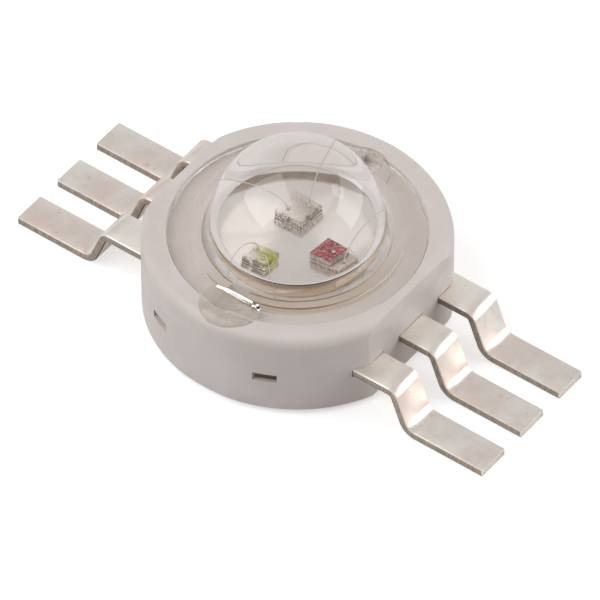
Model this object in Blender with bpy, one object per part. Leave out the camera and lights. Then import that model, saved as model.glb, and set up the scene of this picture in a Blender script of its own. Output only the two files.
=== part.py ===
"""Bare three-colour power light emitter with six gull-wing leads and a clear dome lens.

Units are metres and +Z is up. The origin is the centre of the heat slug's flat underside, which lies in
one plane with the undersides of the six feet. The leads leave the housing along +X and -X.
"""

import math

import bmesh
import bpy
from mathutils import Vector

# Housing
HOUSING_DIAMETER = 0.0080
HOUSING_HEIGHT = 0.00252
HOUSING_STANDOFF = 0.0001
HOUSING_EDGE_RADIUS = 0.0003
HOUSING_BOTTOM_CHAMFER = 0.00006
FLAT_DEPTH = 0.0004
NOTCH_WIDTH = 0.0013
NOTCH_HEIGHT = 0.0004
INDEX_WIDTH = 0.00028
INDEX_DEPTH = 0.00016
INDEX_AZIMUTH = math.radians(127)

# Recess for the lens, and the well under it
RECESS_DEPTH = 0.00032
RIM_WALL = 0.00025
SEAT_WIDTH = 0.001
RUNNER_WIDTH = 0.0005
RUNNER_DEPTH = 0.0003

# Heat slug
SLUG_BASE_DIAMETER = 0.0054
SLUG_BASE_HEIGHT = 0.00045
SLUG_SHOULDER_DIAMETER = 0.0047
SLUG_SHOULDER_HEIGHT = 0.0004
SLUG_POST_DIAMETER = 0.003
SLUG_CHAMFER = 0.00006
CUP_RIM_WIDTH = 0.00004
CUP_DEPTH = 0.00004

# Leads
LEAD_WIDTH = 0.00097
LEAD_THICKNESS = 0.00023
LEAD_PITCH = 0.00167
LEAD_SPAN = 0.01485
LEAD_EXIT_HEIGHT = 0.00112
LEAD_ROOT_LENGTH = 0.00085
LEAD_UPPER_RADIUS = 0.0001
LEAD_HEEL_RADIUS = 0.00028
LEAD_RISER_ANGLE = math.radians(69)
LEAD_EDGE_RADIUS = 0.000025
LEAD_NECK_LENGTH = 0.0013
PAD_CLEARANCE = 0.00008
PAD_REACH = 0.0005
TIE_WIDTH = 0.00055
TIE_OFFSET = 0.00166
TIE_RECESS = 0.00003

# Lens
FLANGE_THICKNESS = 0.00024
LEDGE_WIDTH = 0.00053
SKIRT_STEP = 0.00008
SKIRT_FLARE = 0.00057
DOME_RISE = 0.00042
EAR_RADIUS = 0.00083
EAR_REACH = 0.0001
EAR_RISE = 0.00004
PORT_RADIUS = 0.00022
CAVITY_LIP = 0.00005
CAVITY_HEIGHT = 0.001

# Silicone that ran out of the filling port at -Y and set on the rim
SPILL_RADIUS = 0.00083
SPILL_OFFSET = 0.00323
SPILL_AZIMUTH = math.radians(-86)
SPILL_THICKNESS = 0.00006
SPILL_EDGE_ANGLE = math.radians(45)

# Chips, their solder and the wires
CHIP_SIZE = 0.00045
CHIP_HEIGHT = 0.0001
SOLDER_THICKNESS = 0.00002
SOLDER_MARGIN = 0.00002
SUBMOUNT_SIZE = 0.00047
SUBMOUNT_LEDGE = 0.0002
SUBMOUNT_HEIGHT = 0.00003
CHIP_RADII = {"red": 0.00054, "green": 0.00065, "blue": 0.00077}
CHIP_AZIMUTHS = {"red": math.radians(18), "green": math.radians(238), "blue": math.radians(126)}
WIRE_DIAMETER = 0.000025
WIRE_LOOP = 0.00035
WIRE_OVERHANG = 0.0009
WIRE_AZIMUTH = math.radians(70)
BALL_DIAMETER = 0.00007
BALL_NECK = 0.00005
BOND_OFFSET = 0.0001

# Clearances between pieces that meet
SEAT_GAP = 0.00002
BOND_GAP = 0.000005

# Fineness of the round shapes
ROUND_STEPS = 64
FILL_STEPS = 44
EAR_STEPS = 32
PORT_STEPS = 16
FILLET_STEPS = 5
BEND_STEPS = 6
DOME_STEPS = 12
CAVITY_STEPS = 8
WIRE_STEPS = 10
SMOOTH_ANGLE = math.radians(35)
BEVEL_ANGLE = math.radians(60)
MERGE_DISTANCE = 1e-7

# Levels above the board
HOUSING_TOP = HOUSING_STANDOFF + HOUSING_HEIGHT
RECESS_FLOOR = HOUSING_TOP - RECESS_DEPTH
FLANGE_BOTTOM = RECESS_FLOOR + SEAT_GAP
FLANGE_TOP = FLANGE_BOTTOM + FLANGE_THICKNESS
DOME_CENTRE = FLANGE_TOP + DOME_RISE
LEAD_TOP = LEAD_EXIT_HEIGHT + LEAD_THICKNESS
SLUG_TOP = RECESS_FLOOR
CUP_FLOOR = SLUG_TOP - CUP_DEPTH
EAR_TOP = FLANGE_TOP + EAR_RISE
EAR_FLOOR = RECESS_FLOOR + SEAT_GAP

# Half sizes in plan
HOUSING_RADIUS = HOUSING_DIAMETER / 2
FLAT_REACH = HOUSING_RADIUS - FLAT_DEPTH
RECESS_RADIUS = FLAT_REACH - RIM_WALL
FLANGE_RADIUS = RECESS_RADIUS - SEAT_GAP
SKIRT_RADIUS = FLANGE_RADIUS - LEDGE_WIDTH
DOME_RADIUS = SKIRT_RADIUS - SKIRT_FLARE
EAR_OFFSET = FLANGE_RADIUS + EAR_REACH - EAR_RADIUS
PORT_OFFSET = (SKIRT_RADIUS + FLANGE_RADIUS) / 2
WELL_RADIUS = RECESS_RADIUS - SEAT_WIDTH
CAVITY_RADIUS = WELL_RADIUS - CAVITY_LIP
POST_RADIUS = SLUG_POST_DIAMETER / 2
PAD_EDGE = POST_RADIUS + PAD_CLEARANCE
PAD_MIDDLE = (PAD_EDGE + WELL_RADIUS) / 2

# How far a cutter runs past what it cuts
CLEAR = 0.0005


def clear_scene():
    """Removes every object of the open file."""
    for item in list(bpy.data.objects):
        bpy.data.objects.remove(item, do_unlink=True)


def finish_material(name, colour, roughness, metallic=0.0, transmission=0.0):
    """A plain Principled material."""
    material = bpy.data.materials.new(name)
    material.use_nodes = True
    shader = material.node_tree.nodes["Principled BSDF"]
    shader.inputs["Base Color"].default_value = (*colour, 1.0)
    shader.inputs["Roughness"].default_value = roughness
    shader.inputs["Metallic"].default_value = metallic
    shader.inputs["Transmission Weight"].default_value = transmission
    return material


def place(name, mesh, material=None, parent=None):
    """Links a mesh into the scene as a named object, smooth except at its corners."""
    mesh.shade_smooth()
    mesh.set_sharp_from_angle(angle=SMOOTH_ANGLE)
    item = bpy.data.objects.new(name, mesh)
    bpy.context.scene.collection.objects.link(item)
    if material:
        mesh.materials.append(material)
    item.parent = parent
    return item


def mesh_from(bm, name):
    """Closes a bmesh into a mesh with its faces pointing out."""
    bmesh.ops.recalc_face_normals(bm, faces=bm.faces)
    mesh = bpy.data.meshes.new(name)
    bm.to_mesh(mesh)
    bm.free()
    return mesh


def turned(name, profile, steps=ROUND_STEPS):
    """Turns a closed profile of (radius, height) points round the Z axis."""
    bm = bmesh.new()
    points = [bm.verts.new((radius, 0.0, height)) for radius, height in profile]
    edges = [bm.edges.new(pair) for pair in zip(points, points[1:] + points[:1])]
    on_axis = [edge for edge in edges if all(v.co.x == 0.0 for v in edge.verts)]
    bmesh.ops.delete(bm, geom=on_axis, context="EDGES_FACES")
    ring = bm.verts[:] + bm.edges[:]
    bmesh.ops.spin(bm, geom=ring, axis=(0, 0, 1), angle=math.tau, steps=steps, use_merge=True)
    bmesh.ops.remove_doubles(bm, verts=bm.verts, dist=MERGE_DISTANCE)
    return mesh_from(bm, name)


def prism(name, outline, low, high, across=False):
    """Extrudes a plan outline from low to high in Z, or a side outline (x, z) in Y where across is set."""
    bm = bmesh.new()
    if across:
        points = [bm.verts.new((x, low, z)) for x, z in outline]
        shift = Vector((0.0, high - low, 0.0))
    else:
        points = [bm.verts.new((x, y, low)) for x, y in outline]
        shift = Vector((0.0, 0.0, high - low))
    face = bm.faces.new(points)
    grown = bmesh.ops.extrude_face_region(bm, geom=[face])
    moved = [v for v in grown["geom"] if isinstance(v, bmesh.types.BMVert)]
    bmesh.ops.translate(bm, verts=moved, vec=shift)
    return mesh_from(bm, name)


def rectangle(centre, width, depth):
    """Corners of an upright rectangle in plan."""
    x, y = centre
    corners = [(-1, -1), (1, -1), (1, 1), (-1, 1)]
    return [(x + across * width / 2, y + along * depth / 2) for across, along in corners]


def circle(centre, radius, steps=PORT_STEPS):
    """Points round a circle in plan."""
    x, y = centre
    turns = [math.tau * step / steps for step in range(steps)]
    return [(x + radius * math.cos(turn), y + radius * math.sin(turn)) for turn in turns]


def arc(centre, radius, start, end, steps):
    """Points along an arc from start to end, both ends with it."""
    x, z = centre
    turns = [start + (end - start) * step / steps for step in range(steps + 1)]
    return [(x + radius * math.cos(turn), z + radius * math.sin(turn)) for turn in turns]


def combine(target, tool, operation):
    """Adds a Boolean modifier and turns its tool into a hidden guide."""
    modifier = target.modifiers.new(tool.name, "BOOLEAN")
    modifier.operation = operation
    modifier.object = tool
    modifier.solver = "EXACT"
    tool.hide_render = True
    tool.display_type = "WIRE"
    tool.parent = target


def cut(target, tool_mesh, turn=0.0):
    """Cuts a mesh, turned round the Z axis, out of an object."""
    tool = place(tool_mesh.name, tool_mesh)
    tool.rotation_euler.z = turn
    combine(target, tool, "DIFFERENCE")


def slug_profile(gap=0.0):
    """Profile of the slug's outside up to its rim, grown by a gap for the hole that it sits in."""
    base, shoulder = SLUG_BASE_DIAMETER / 2 + gap, SLUG_SHOULDER_DIAMETER / 2 + gap
    post = POST_RADIUS + gap
    base_top = SLUG_BASE_HEIGHT + gap
    shoulder_top = SLUG_BASE_HEIGHT + SLUG_SHOULDER_HEIGHT + gap
    return [(base, base_top), (shoulder, base_top), (shoulder, shoulder_top), (post, shoulder_top)]


def heat_slug(material, parent):
    """Stepped round slug with a shallow cup in its top."""
    base = SLUG_BASE_DIAMETER / 2
    cup = POST_RADIUS - CUP_RIM_WIDTH
    profile = [(0.0, 0.0), (base - SLUG_CHAMFER, 0.0), (base, SLUG_CHAMFER)]
    profile += slug_profile()
    profile += [(POST_RADIUS, SLUG_TOP), (cup, SLUG_TOP), (cup - CUP_DEPTH, CUP_FLOOR), (0.0, CUP_FLOOR)]
    return place("heat_slug", turned("heat_slug", profile), material, parent)


def lead_side_outline(inner_end):
    """Side outline (x, z) of a formed lead from its bond pad to the tip of its foot."""
    angle = LEAD_RISER_ANGLE
    outer_upper = LEAD_UPPER_RADIUS + LEAD_THICKNESS
    outer_heel = LEAD_HEEL_RADIUS + LEAD_THICKNESS
    root_end = FLAT_REACH + LEAD_ROOT_LENGTH
    upper = (root_end, LEAD_EXIT_HEIGHT - LEAD_UPPER_RADIUS)
    drop = upper[1] - outer_heel + (LEAD_UPPER_RADIUS + outer_heel) * math.cos(angle)
    run = (LEAD_UPPER_RADIUS + outer_heel) * math.sin(angle)
    heel = (root_end + run + drop / math.tan(angle), outer_heel)
    top = [(inner_end, LEAD_TOP)]
    top += arc(upper, outer_upper, math.pi / 2, math.pi / 2 - angle, BEND_STEPS)
    top += arc(heel, LEAD_HEEL_RADIUS, 1.5 * math.pi - angle, 1.5 * math.pi, 1)
    top += [(LEAD_SPAN / 2, LEAD_THICKNESS)]
    under = [(LEAD_SPAN / 2, 0.0)]
    under += arc(heel, outer_heel, 1.5 * math.pi, 1.5 * math.pi - angle, BEND_STEPS)
    under += arc(upper, LEAD_UPPER_RADIUS, math.pi / 2 - angle, math.pi / 2, BEND_STEPS // 2)
    under += [(inner_end, LEAD_EXIT_HEIGHT)]
    return top + under


def pad_end(row):
    """How near the axis the bond pad of a lead comes."""
    return PAD_EDGE if row == 0 else PAD_REACH


def lead_plan_outline(row, gap, reach, tie_reach):
    """Plan outline of a lead on the +X side, with its bond pad and, on the outer rows, its cut tie bar.

    row is -1, 0 or 1. gap grows the outline for the slot round it, reach is its end along +X and
    tie_reach is the radius that the tie bar ends at.
    """
    half = LEAD_WIDTH / 2 + gap
    inner = pad_end(row) - gap
    if row == 0:
        return [(inner, -half), (reach, -half), (reach, half), (inner, half)]
    near, far = LEAD_PITCH - half, LEAD_PITCH + half
    shoulder = FLAT_REACH - LEAD_NECK_LENGTH - gap
    low, high = TIE_OFFSET - TIE_WIDTH / 2 - gap, TIE_OFFSET + TIE_WIDTH / 2 + gap
    tie_high, tie_low = math.sqrt(tie_reach**2 - high**2), math.sqrt(tie_reach**2 - low**2)
    outline = [(inner, PAD_EDGE - gap), (shoulder, PAD_EDGE - gap), (shoulder, near), (reach, near)]
    outline += [(reach, far), (high, far), (high, tie_high), (low, tie_low), (low, far), (inner, far)]
    return [(x, row * y) for x, y in outline]


def lead(name, side, row, material, parent):
    """One formed lead: its side outline across its width, trimmed to its plan outline."""
    reach = LEAD_SPAN / 2 + CLEAR
    side_on = prism(name, lead_side_outline(pad_end(row) - CLEAR), -HOUSING_DIAMETER, HOUSING_DIAMETER, True)
    item = place(name, side_on, material, parent)
    outline = lead_plan_outline(row, 0.0, reach, HOUSING_RADIUS - TIE_RECESS)
    plan = place(name + "_plan", prism(name + "_plan", outline, -CLEAR, LEAD_TOP + CLEAR))
    combine(item, plan, "INTERSECT")
    edges = item.modifiers.new("edges", "BEVEL")
    edges.width = LEAD_EDGE_RADIUS
    edges.segments = 1
    edges.limit_method = "ANGLE"
    edges.angle_limit = BEVEL_ANGLE
    item.rotation_euler.z = 0.0 if side > 0 else math.pi
    return item


def housing(material, parent):
    """Moulded housing with the lens recess, the well, the slug's hole and a slot for each lead."""
    radius, chamfer = HOUSING_RADIUS, HOUSING_BOTTOM_CHAMFER
    edge = (radius - HOUSING_EDGE_RADIUS, HOUSING_TOP - HOUSING_EDGE_RADIUS)
    hole = slug_profile(SEAT_GAP)
    profile = [(hole[0][0], HOUSING_STANDOFF), (radius - chamfer, HOUSING_STANDOFF)]
    profile += [(radius, HOUSING_STANDOFF + chamfer)]
    profile += arc(edge, HOUSING_EDGE_RADIUS, 0.0, math.pi / 2, FILLET_STEPS)
    profile += [(RECESS_RADIUS, HOUSING_TOP), (RECESS_RADIUS, RECESS_FLOOR), (WELL_RADIUS, RECESS_FLOOR)]
    profile += [(WELL_RADIUS, LEAD_TOP), (hole[-1][0], LEAD_TOP)] + hole[::-1]
    item = place("housing", turned("housing", profile), material, parent)
    for side in (-1, 1):
        width = FLAT_DEPTH + CLEAR
        flat = rectangle((side * (FLAT_REACH + width / 2), 0.0), width, HOUSING_DIAMETER)
        cut(item, prism(f"flat_{side}", flat, -CLEAR, HOUSING_TOP + CLEAR))
        pocket = ear_outline(side, EAR_RADIUS + SEAT_GAP)
        cut(item, prism(f"ear_pocket_{side}", pocket, EAR_FLOOR, HOUSING_TOP + CLEAR))
        cut(item, runner(f"runner_hole_{side}", side, SEAT_GAP, RECESS_FLOOR + 2 * SEAT_GAP))
        for row in (-1, 0, 1):
            outline = lead_plan_outline(row, SEAT_GAP, HOUSING_RADIUS + CLEAR, HOUSING_RADIUS + CLEAR)
            low, high = LEAD_EXIT_HEIGHT - SEAT_GAP, LEAD_TOP + SEAT_GAP
            turn = 0.0 if side > 0 else math.pi
            cut(item, prism(f"slot_{side}_{row}", outline, low, high), turn)
    cut_marks(item)
    return item


def cut_marks(item):
    """Cuts the flat-bottomed notch at -Y and the small index mark in the top edge."""
    depth = HOUSING_RADIUS - math.sqrt(HOUSING_RADIUS**2 - (NOTCH_WIDTH / 2) ** 2)
    notch = rectangle((0.0, depth - HOUSING_RADIUS - CLEAR), NOTCH_WIDTH + CLEAR, 2 * CLEAR)
    cut(item, prism("notch", notch, -CLEAR, HOUSING_STANDOFF + NOTCH_HEIGHT))
    mark = rectangle((HOUSING_RADIUS, 0.0), 2 * INDEX_DEPTH, INDEX_WIDTH)
    cut(item, prism("index", mark, HOUSING_TOP - INDEX_DEPTH, HOUSING_TOP + CLEAR), INDEX_AZIMUTH)


def ear_outline(side, radius):
    """Plan outline of a lens ear: a round end closed by a chord that stays clear of the hollow."""
    dip = math.asin((EAR_OFFSET - WELL_RADIUS) / radius)
    return [(x, side * y) for x, y in arc((0.0, EAR_OFFSET), radius, -dip, math.pi + dip, EAR_STEPS)]


def runner(name, side, gap, top):
    """Channel under the lens flange that joins the well to a filling port."""
    end = PORT_OFFSET + PORT_RADIUS + gap
    start = WELL_RADIUS - RUNNER_WIDTH
    plan = rectangle((0.0, side * (start + end) / 2), RUNNER_WIDTH + 2 * gap, end - start)
    return prism(name, plan, RECESS_FLOOR - RUNNER_DEPTH - gap, top)


def dome_cavity(gap=0.0):
    """Arc of the hollow under the dome, from its mouth to the axis, shrunk by a gap for what fills it."""
    radius = (CAVITY_RADIUS**2 + CAVITY_HEIGHT**2) / (2 * CAVITY_HEIGHT)
    middle = FLANGE_BOTTOM + CAVITY_HEIGHT - radius
    start = math.asin((FLANGE_BOTTOM - middle) / (radius - gap))
    return arc((0.0, middle), radius - gap, start, math.pi / 2, CAVITY_STEPS)[:-1] + [(0.0, middle + radius - gap)]


def lens(material, parent):
    """Clear lens: dome, flared skirt, flange, two ears, and a filling port beside each."""
    flare_height = DOME_CENTRE - FLANGE_TOP - SKIRT_STEP
    curve = arc((0.0, 0.0), 1.0, 1.5 * math.pi, math.pi, FILLET_STEPS)
    profile = [(FLANGE_RADIUS, FLANGE_BOTTOM), (FLANGE_RADIUS, FLANGE_TOP), (SKIRT_RADIUS, FLANGE_TOP)]
    profile += [(SKIRT_RADIUS + x * SKIRT_FLARE, DOME_CENTRE + z * flare_height) for x, z in curve]
    profile += arc((0.0, DOME_CENTRE), DOME_RADIUS, 0.0, math.pi / 2, DOME_STEPS)[1:-1]
    profile += [(0.0, DOME_CENTRE + DOME_RADIUS)]
    profile += dome_cavity()[::-1]
    item = place("lens", turned("lens", profile), material, parent)
    for side in (-1, 1):
        ear = prism(f"ear_{side}", ear_outline(side, EAR_RADIUS), EAR_FLOOR + SEAT_GAP, EAR_TOP)
        combine(item, place(f"ear_{side}", ear), "UNION")
        port = circle((0.0, side * PORT_OFFSET), PORT_RADIUS)
        cut(item, prism(f"port_{side}", port, RECESS_FLOOR - CLEAR, EAR_TOP + CLEAR))
    return item


def chip_place(colour):
    """Centre of a chip in plan."""
    radius, azimuth = CHIP_RADII[colour], CHIP_AZIMUTHS[colour]
    return radius * math.cos(azimuth), radius * math.sin(azimuth)


def foot_outline(colour, margin):
    """Plan outline of what a chip stands on, grown by a margin. The red chip's submount has a ledge at +X."""
    x, y = chip_place(colour)
    size, ledge = (SUBMOUNT_SIZE, SUBMOUNT_LEDGE) if colour == "red" else (CHIP_SIZE, 0.0)
    return rectangle((x + ledge / 2, y), size + ledge + 2 * margin, size + 2 * margin)


def stack_levels(colour):
    """Lowest and highest level of each layer of a chip's stack, by layer name."""
    thicknesses = {"solder": SOLDER_THICKNESS, "submount": SUBMOUNT_HEIGHT, "chip": CHIP_HEIGHT}
    if colour != "red":
        del thicknesses["submount"]
    levels, level = {}, CUP_FLOOR
    for layer, thickness in thicknesses.items():
        low = level + BOND_GAP
        level = low + thickness
        levels[layer] = (low, level)
    return levels


def chip_stack(colour, materials, parent):
    """Solder pad, submount where there is one, and chip, one above the other on the cup's floor."""
    outlines = {
        "solder": foot_outline(colour, SOLDER_MARGIN),
        "submount": foot_outline(colour, 0.0),
        "chip": rectangle(chip_place(colour), CHIP_SIZE, CHIP_SIZE),
    }
    for layer, (low, high) in stack_levels(colour).items():
        name = f"{layer}_{colour}"
        material = materials[name if layer == "chip" else layer]
        place(name, prism(name, outlines[layer], low, high), material, parent)


def wire_path(start, end):
    """Points of a wire loop that leaves start upwards, clears the cup's rim and comes down on end."""
    a, d = Vector(start), Vector(end)
    b = a + Vector((0.0, 0.0, WIRE_LOOP))
    c = Vector((d.x, d.y, a.z + WIRE_OVERHANG))
    points = []
    for step in range(WIRE_STEPS + 1):
        t = step / WIRE_STEPS
        s = 1.0 - t
        points.append(a * s**3 + b * 3 * s * s * t + c * 3 * s * t * t + d * t**3)
    return points


def wire_mesh(name, start, end, gap=0.0):
    """Tube along a wire's path, with its ball bond at the start, grown by a gap for the hole round it."""
    curve = bpy.data.curves.new(name, "CURVE")
    curve.dimensions = "3D"
    curve.bevel_depth = 1.0
    curve.bevel_resolution = 1
    curve.use_fill_caps = True
    path = wire_path(start, end)
    ball, thin = BALL_DIAMETER / 2 + gap, WIRE_DIAMETER / 2 + gap
    neck = path[0] + Vector((0.0, 0.0, BALL_NECK))
    points = [path[0], path[0].lerp(neck, 0.5), neck] + path[1:]
    radii = [ball, ball, thin] + [thin] * WIRE_STEPS
    if gap:
        points[0] = points[0] - Vector((0.0, 0.0, 2 * gap))
        points[-1] = points[-1] - Vector((0.0, 0.0, 3 * gap))
    spline = curve.splines.new("POLY")
    spline.points.add(len(points) - 1)
    for knot, place_at, radius in zip(spline.points, points, radii):
        knot.co = (*place_at, 1.0)
        knot.radius = radius
    holder = bpy.data.objects.new(name + "_curve", curve)
    bpy.context.scene.collection.objects.link(holder)
    mesh = bpy.data.meshes.new_from_object(holder)
    mesh.name = name
    bpy.data.objects.remove(holder, do_unlink=True)
    bm = bmesh.new()
    bm.from_mesh(mesh)
    bmesh.ops.remove_doubles(bm, verts=bm.verts, dist=MERGE_DISTANCE)
    bmesh.ops.recalc_face_normals(bm, faces=bm.faces)
    bm.to_mesh(mesh)
    bm.free()
    return mesh


def chip_bond(colour, x_step, y_step):
    """Bond point on a chip's top, at so many bond offsets from its centre."""
    x, y = chip_place(colour)
    level = stack_levels(colour)["chip"][1] + BOND_GAP
    return x + x_step * BOND_OFFSET, y + y_step * BOND_OFFSET, level


def ledge_bond():
    """Bond point on the middle of the red submount's ledge."""
    x, y = chip_place("red")
    level = stack_levels("red")["submount"][1] + BOND_GAP
    return x + (SUBMOUNT_SIZE + SUBMOUNT_LEDGE) / 2, y, level


def lead_bond(azimuth):
    """Bond point on the middle of the ring of lead pads round the slug's post."""
    return PAD_MIDDLE * math.cos(azimuth), PAD_MIDDLE * math.sin(azimuth), LEAD_TOP + BOND_GAP


def bond_spots():
    """Start and end of each wire, by name."""
    return {
        "wire_red_top": (chip_bond("red", 1, 0), lead_bond(0.0)),
        "wire_red_base": (ledge_bond(), lead_bond(WIRE_AZIMUTH)),
        "wire_green_front": (chip_bond("green", 1, -1), lead_bond(-WIRE_AZIMUTH)),
        "wire_green_side": (chip_bond("green", -1, 1), lead_bond(WIRE_AZIMUTH - math.pi)),
        "wire_blue_side": (chip_bond("blue", -1, -1), lead_bond(math.pi)),
        "wire_blue_back": (chip_bond("blue", 1, 1), lead_bond(math.pi - WIRE_AZIMUTH)),
    }


def spill():
    """Silicone set on the lens ear and over the rounded rim: a turned skin trimmed to a round patch."""
    inner, bed = SKIRT_RADIUS + 2 * SEAT_GAP, HOUSING_TOP + SEAT_GAP
    edge = (HOUSING_RADIUS - HOUSING_EDGE_RADIUS, HOUSING_TOP - HOUSING_EDGE_RADIUS)
    under = HOUSING_EDGE_RADIUS + SEAT_GAP
    profile = [(inner, bed)] + arc(edge, under, math.pi / 2, SPILL_EDGE_ANGLE, FILLET_STEPS)
    profile += arc(edge, under + SPILL_THICKNESS, SPILL_EDGE_ANGLE, math.pi / 2, FILLET_STEPS)
    profile += [(inner, bed + SPILL_THICKNESS)]
    skin = place("spill", turned("spill", profile))
    x, y = SPILL_OFFSET * math.cos(SPILL_AZIMUTH), SPILL_OFFSET * math.sin(SPILL_AZIMUTH)
    patch = prism("spill_patch", circle((x, y), SPILL_RADIUS, EAR_STEPS), RECESS_FLOOR, bed + CLEAR)
    combine(skin, place("spill_patch", patch), "INTERSECT")
    return skin


def gel_fill(material, parent):
    """Silicone that fills the well, the runners and the hollow of the lens, open where chips and wires sit."""
    gap = SEAT_GAP
    cup = POST_RADIUS - CUP_RIM_WIDTH
    low, roof = LEAD_TOP + gap, FLANGE_BOTTOM - gap / 2
    profile = [(0.0, CUP_FLOOR + gap), (cup - CUP_DEPTH - gap, CUP_FLOOR + gap), (cup - gap, SLUG_TOP + gap)]
    profile += [(POST_RADIUS + gap, SLUG_TOP + gap), (POST_RADIUS + gap, low), (WELL_RADIUS - gap, low)]
    profile += [(WELL_RADIUS - gap, roof)]
    dome = dome_cavity(gap)
    profile += [(dome[0][0], roof)] + dome
    item = place("gel_fill", turned("gel_fill", profile, FILL_STEPS), material, parent)
    for side in (-1, 1):
        channel = place(f"gel_runner_{side}", runner(f"gel_runner_{side}", side, -gap, RECESS_FLOOR))
        combine(item, channel, "UNION")
        sprue = circle((0.0, side * PORT_OFFSET), PORT_RADIUS - gap)
        sprue_top = FLANGE_TOP if side > 0 else HOUSING_TOP + SEAT_GAP + SPILL_THICKNESS / 2
        sprue_mesh = prism(f"gel_sprue_{side}", sprue, RECESS_FLOOR - RUNNER_DEPTH / 2, sprue_top)
        combine(item, place(f"gel_sprue_{side}", sprue_mesh), "UNION")
    combine(item, spill(), "UNION")
    for colour in CHIP_AZIMUTHS:
        top = stack_levels(colour)["chip"][1] + gap
        cut(item, prism(f"pocket_{colour}", foot_outline(colour, SOLDER_MARGIN + gap), CUP_FLOOR - gap, top))
    for name, (start, end) in bond_spots().items():
        cut(item, wire_mesh(f"{name}_hole", start, end, BOND_GAP))
    return item


def finishes():
    """The material of every kind of piece, by short name."""
    return {
        "plastic": finish_material("housing_plastic", (0.80, 0.78, 0.80), 0.45),
        "plated": finish_material("plated_metal", (0.72, 0.68, 0.63), 0.28, metallic=1.0),
        "slug": finish_material("slug_metal", (0.75, 0.72, 0.70), 0.2, metallic=1.0),
        "gold": finish_material("wire_gold", (0.85, 0.62, 0.25), 0.25, metallic=1.0),
        "clear": finish_material("lens_clear", (0.97, 0.97, 0.96), 0.03, transmission=1.0),
        "silicone": finish_material("gel_clear", (0.95, 0.95, 0.93), 0.1, transmission=1.0),
        "solder": finish_material("solder_grey", (0.6, 0.6, 0.6), 0.4, metallic=1.0),
        "submount": finish_material("submount_silver", (0.8, 0.8, 0.8), 0.2, metallic=1.0),
        "chip_red": finish_material("chip_red", (0.55, 0.06, 0.06), 0.3),
        "chip_green": finish_material("chip_green", (0.55, 0.65, 0.25), 0.3),
        "chip_blue": finish_material("chip_blue", (0.45, 0.48, 0.5), 0.3),
    }


def main():
    """Builds every piece under one empty."""
    clear_scene()
    root = bpy.data.objects.new("emitter", None)
    bpy.context.scene.collection.objects.link(root)
    materials = finishes()
    housing(materials["plastic"], root)
    heat_slug(materials["slug"], root)
    for side, side_name in ((-1, "left"), (1, "right")):
        for row, row_name in ((-1, "front"), (0, "middle"), (1, "back")):
            lead(f"lead_{side_name}_{row_name}", side, row * side, materials["plated"], root)
    lens(materials["clear"], root)
    for colour in CHIP_AZIMUTHS:
        chip_stack(colour, materials, root)
    for name, (start, end) in bond_spots().items():
        place(name, wire_mesh(name, start, end), materials["gold"], root)
    gel_fill(materials["silicone"], root)


main()
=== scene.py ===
"""Looks of a bare three-colour power light emitter: housing, dome lens, chips and six gull-wing leads."""

import logging
import math
from dataclasses import dataclass, field
from enum import Enum

import bmesh
import bpy
from mathutils import Matrix, Vector


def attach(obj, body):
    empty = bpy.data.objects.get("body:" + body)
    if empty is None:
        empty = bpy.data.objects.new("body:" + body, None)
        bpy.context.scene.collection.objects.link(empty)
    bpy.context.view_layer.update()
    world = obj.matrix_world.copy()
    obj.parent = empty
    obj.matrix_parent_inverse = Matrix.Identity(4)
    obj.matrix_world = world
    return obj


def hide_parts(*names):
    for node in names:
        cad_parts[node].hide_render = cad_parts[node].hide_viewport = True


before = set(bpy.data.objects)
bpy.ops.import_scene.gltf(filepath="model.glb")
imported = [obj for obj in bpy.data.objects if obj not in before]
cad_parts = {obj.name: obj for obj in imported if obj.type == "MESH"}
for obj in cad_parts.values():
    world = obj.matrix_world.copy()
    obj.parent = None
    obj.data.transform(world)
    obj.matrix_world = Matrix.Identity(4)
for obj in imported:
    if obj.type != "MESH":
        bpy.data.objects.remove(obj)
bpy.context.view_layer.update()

MM = 0.001
QUARTER = math.pi / 2
LOG = logging.getLogger("emitter")

Spot = tuple[float, float]
Span = tuple[float, float]
Profile = list[Spot]
Place = tuple[float, float, float]
Colour = tuple[float, float, float]

# Factors on a place: none, and those that leave its height out.
EVENLY: Place = (1.0, 1.0, 1.0)
IN_PLAN: Place = (1.0, 1.0, 0.0)
WHITE = (1.0, 1.0, 1.0, 1.0)
RANGE_ENDS = ("From Min", "From Max", "To Min", "To Max")


class Row(Enum):
    """The three rows of leads, by their place along Y on the +X side."""

    FRONT = -1
    MIDDLE = 0
    BACK = 1


class Side(Enum):
    """The two sides that the leads leave by."""

    LEFT = -1
    RIGHT = 1


class Carving(Enum):
    """How one solid is combined with another."""

    CUT = "DIFFERENCE"
    JOIN = "UNION"
    TRIM = "INTERSECT"


class LeadFinish(Enum):
    """The finishes of a lead, by their number on its faces."""

    PLATED = 0
    SHEARED = 1
    # Dark finish: a painted shade line on the lower rounded edges, and bare cut metal in painted shade on cut
    # tie bar ends.
    BURR_AND_SHADE = 2


class ChipColour(Enum):
    """The three chips."""

    RED = "red"
    GREEN = "green"
    BLUE = "blue"


class Mirrored(Enum):
    """Where a lamp shows itself: on outer surfaces, through the lens, or nowhere."""

    OUTSIDE = (True, False)
    THROUGH_LENS = (False, True)
    NOWHERE = (False, False)


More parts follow.
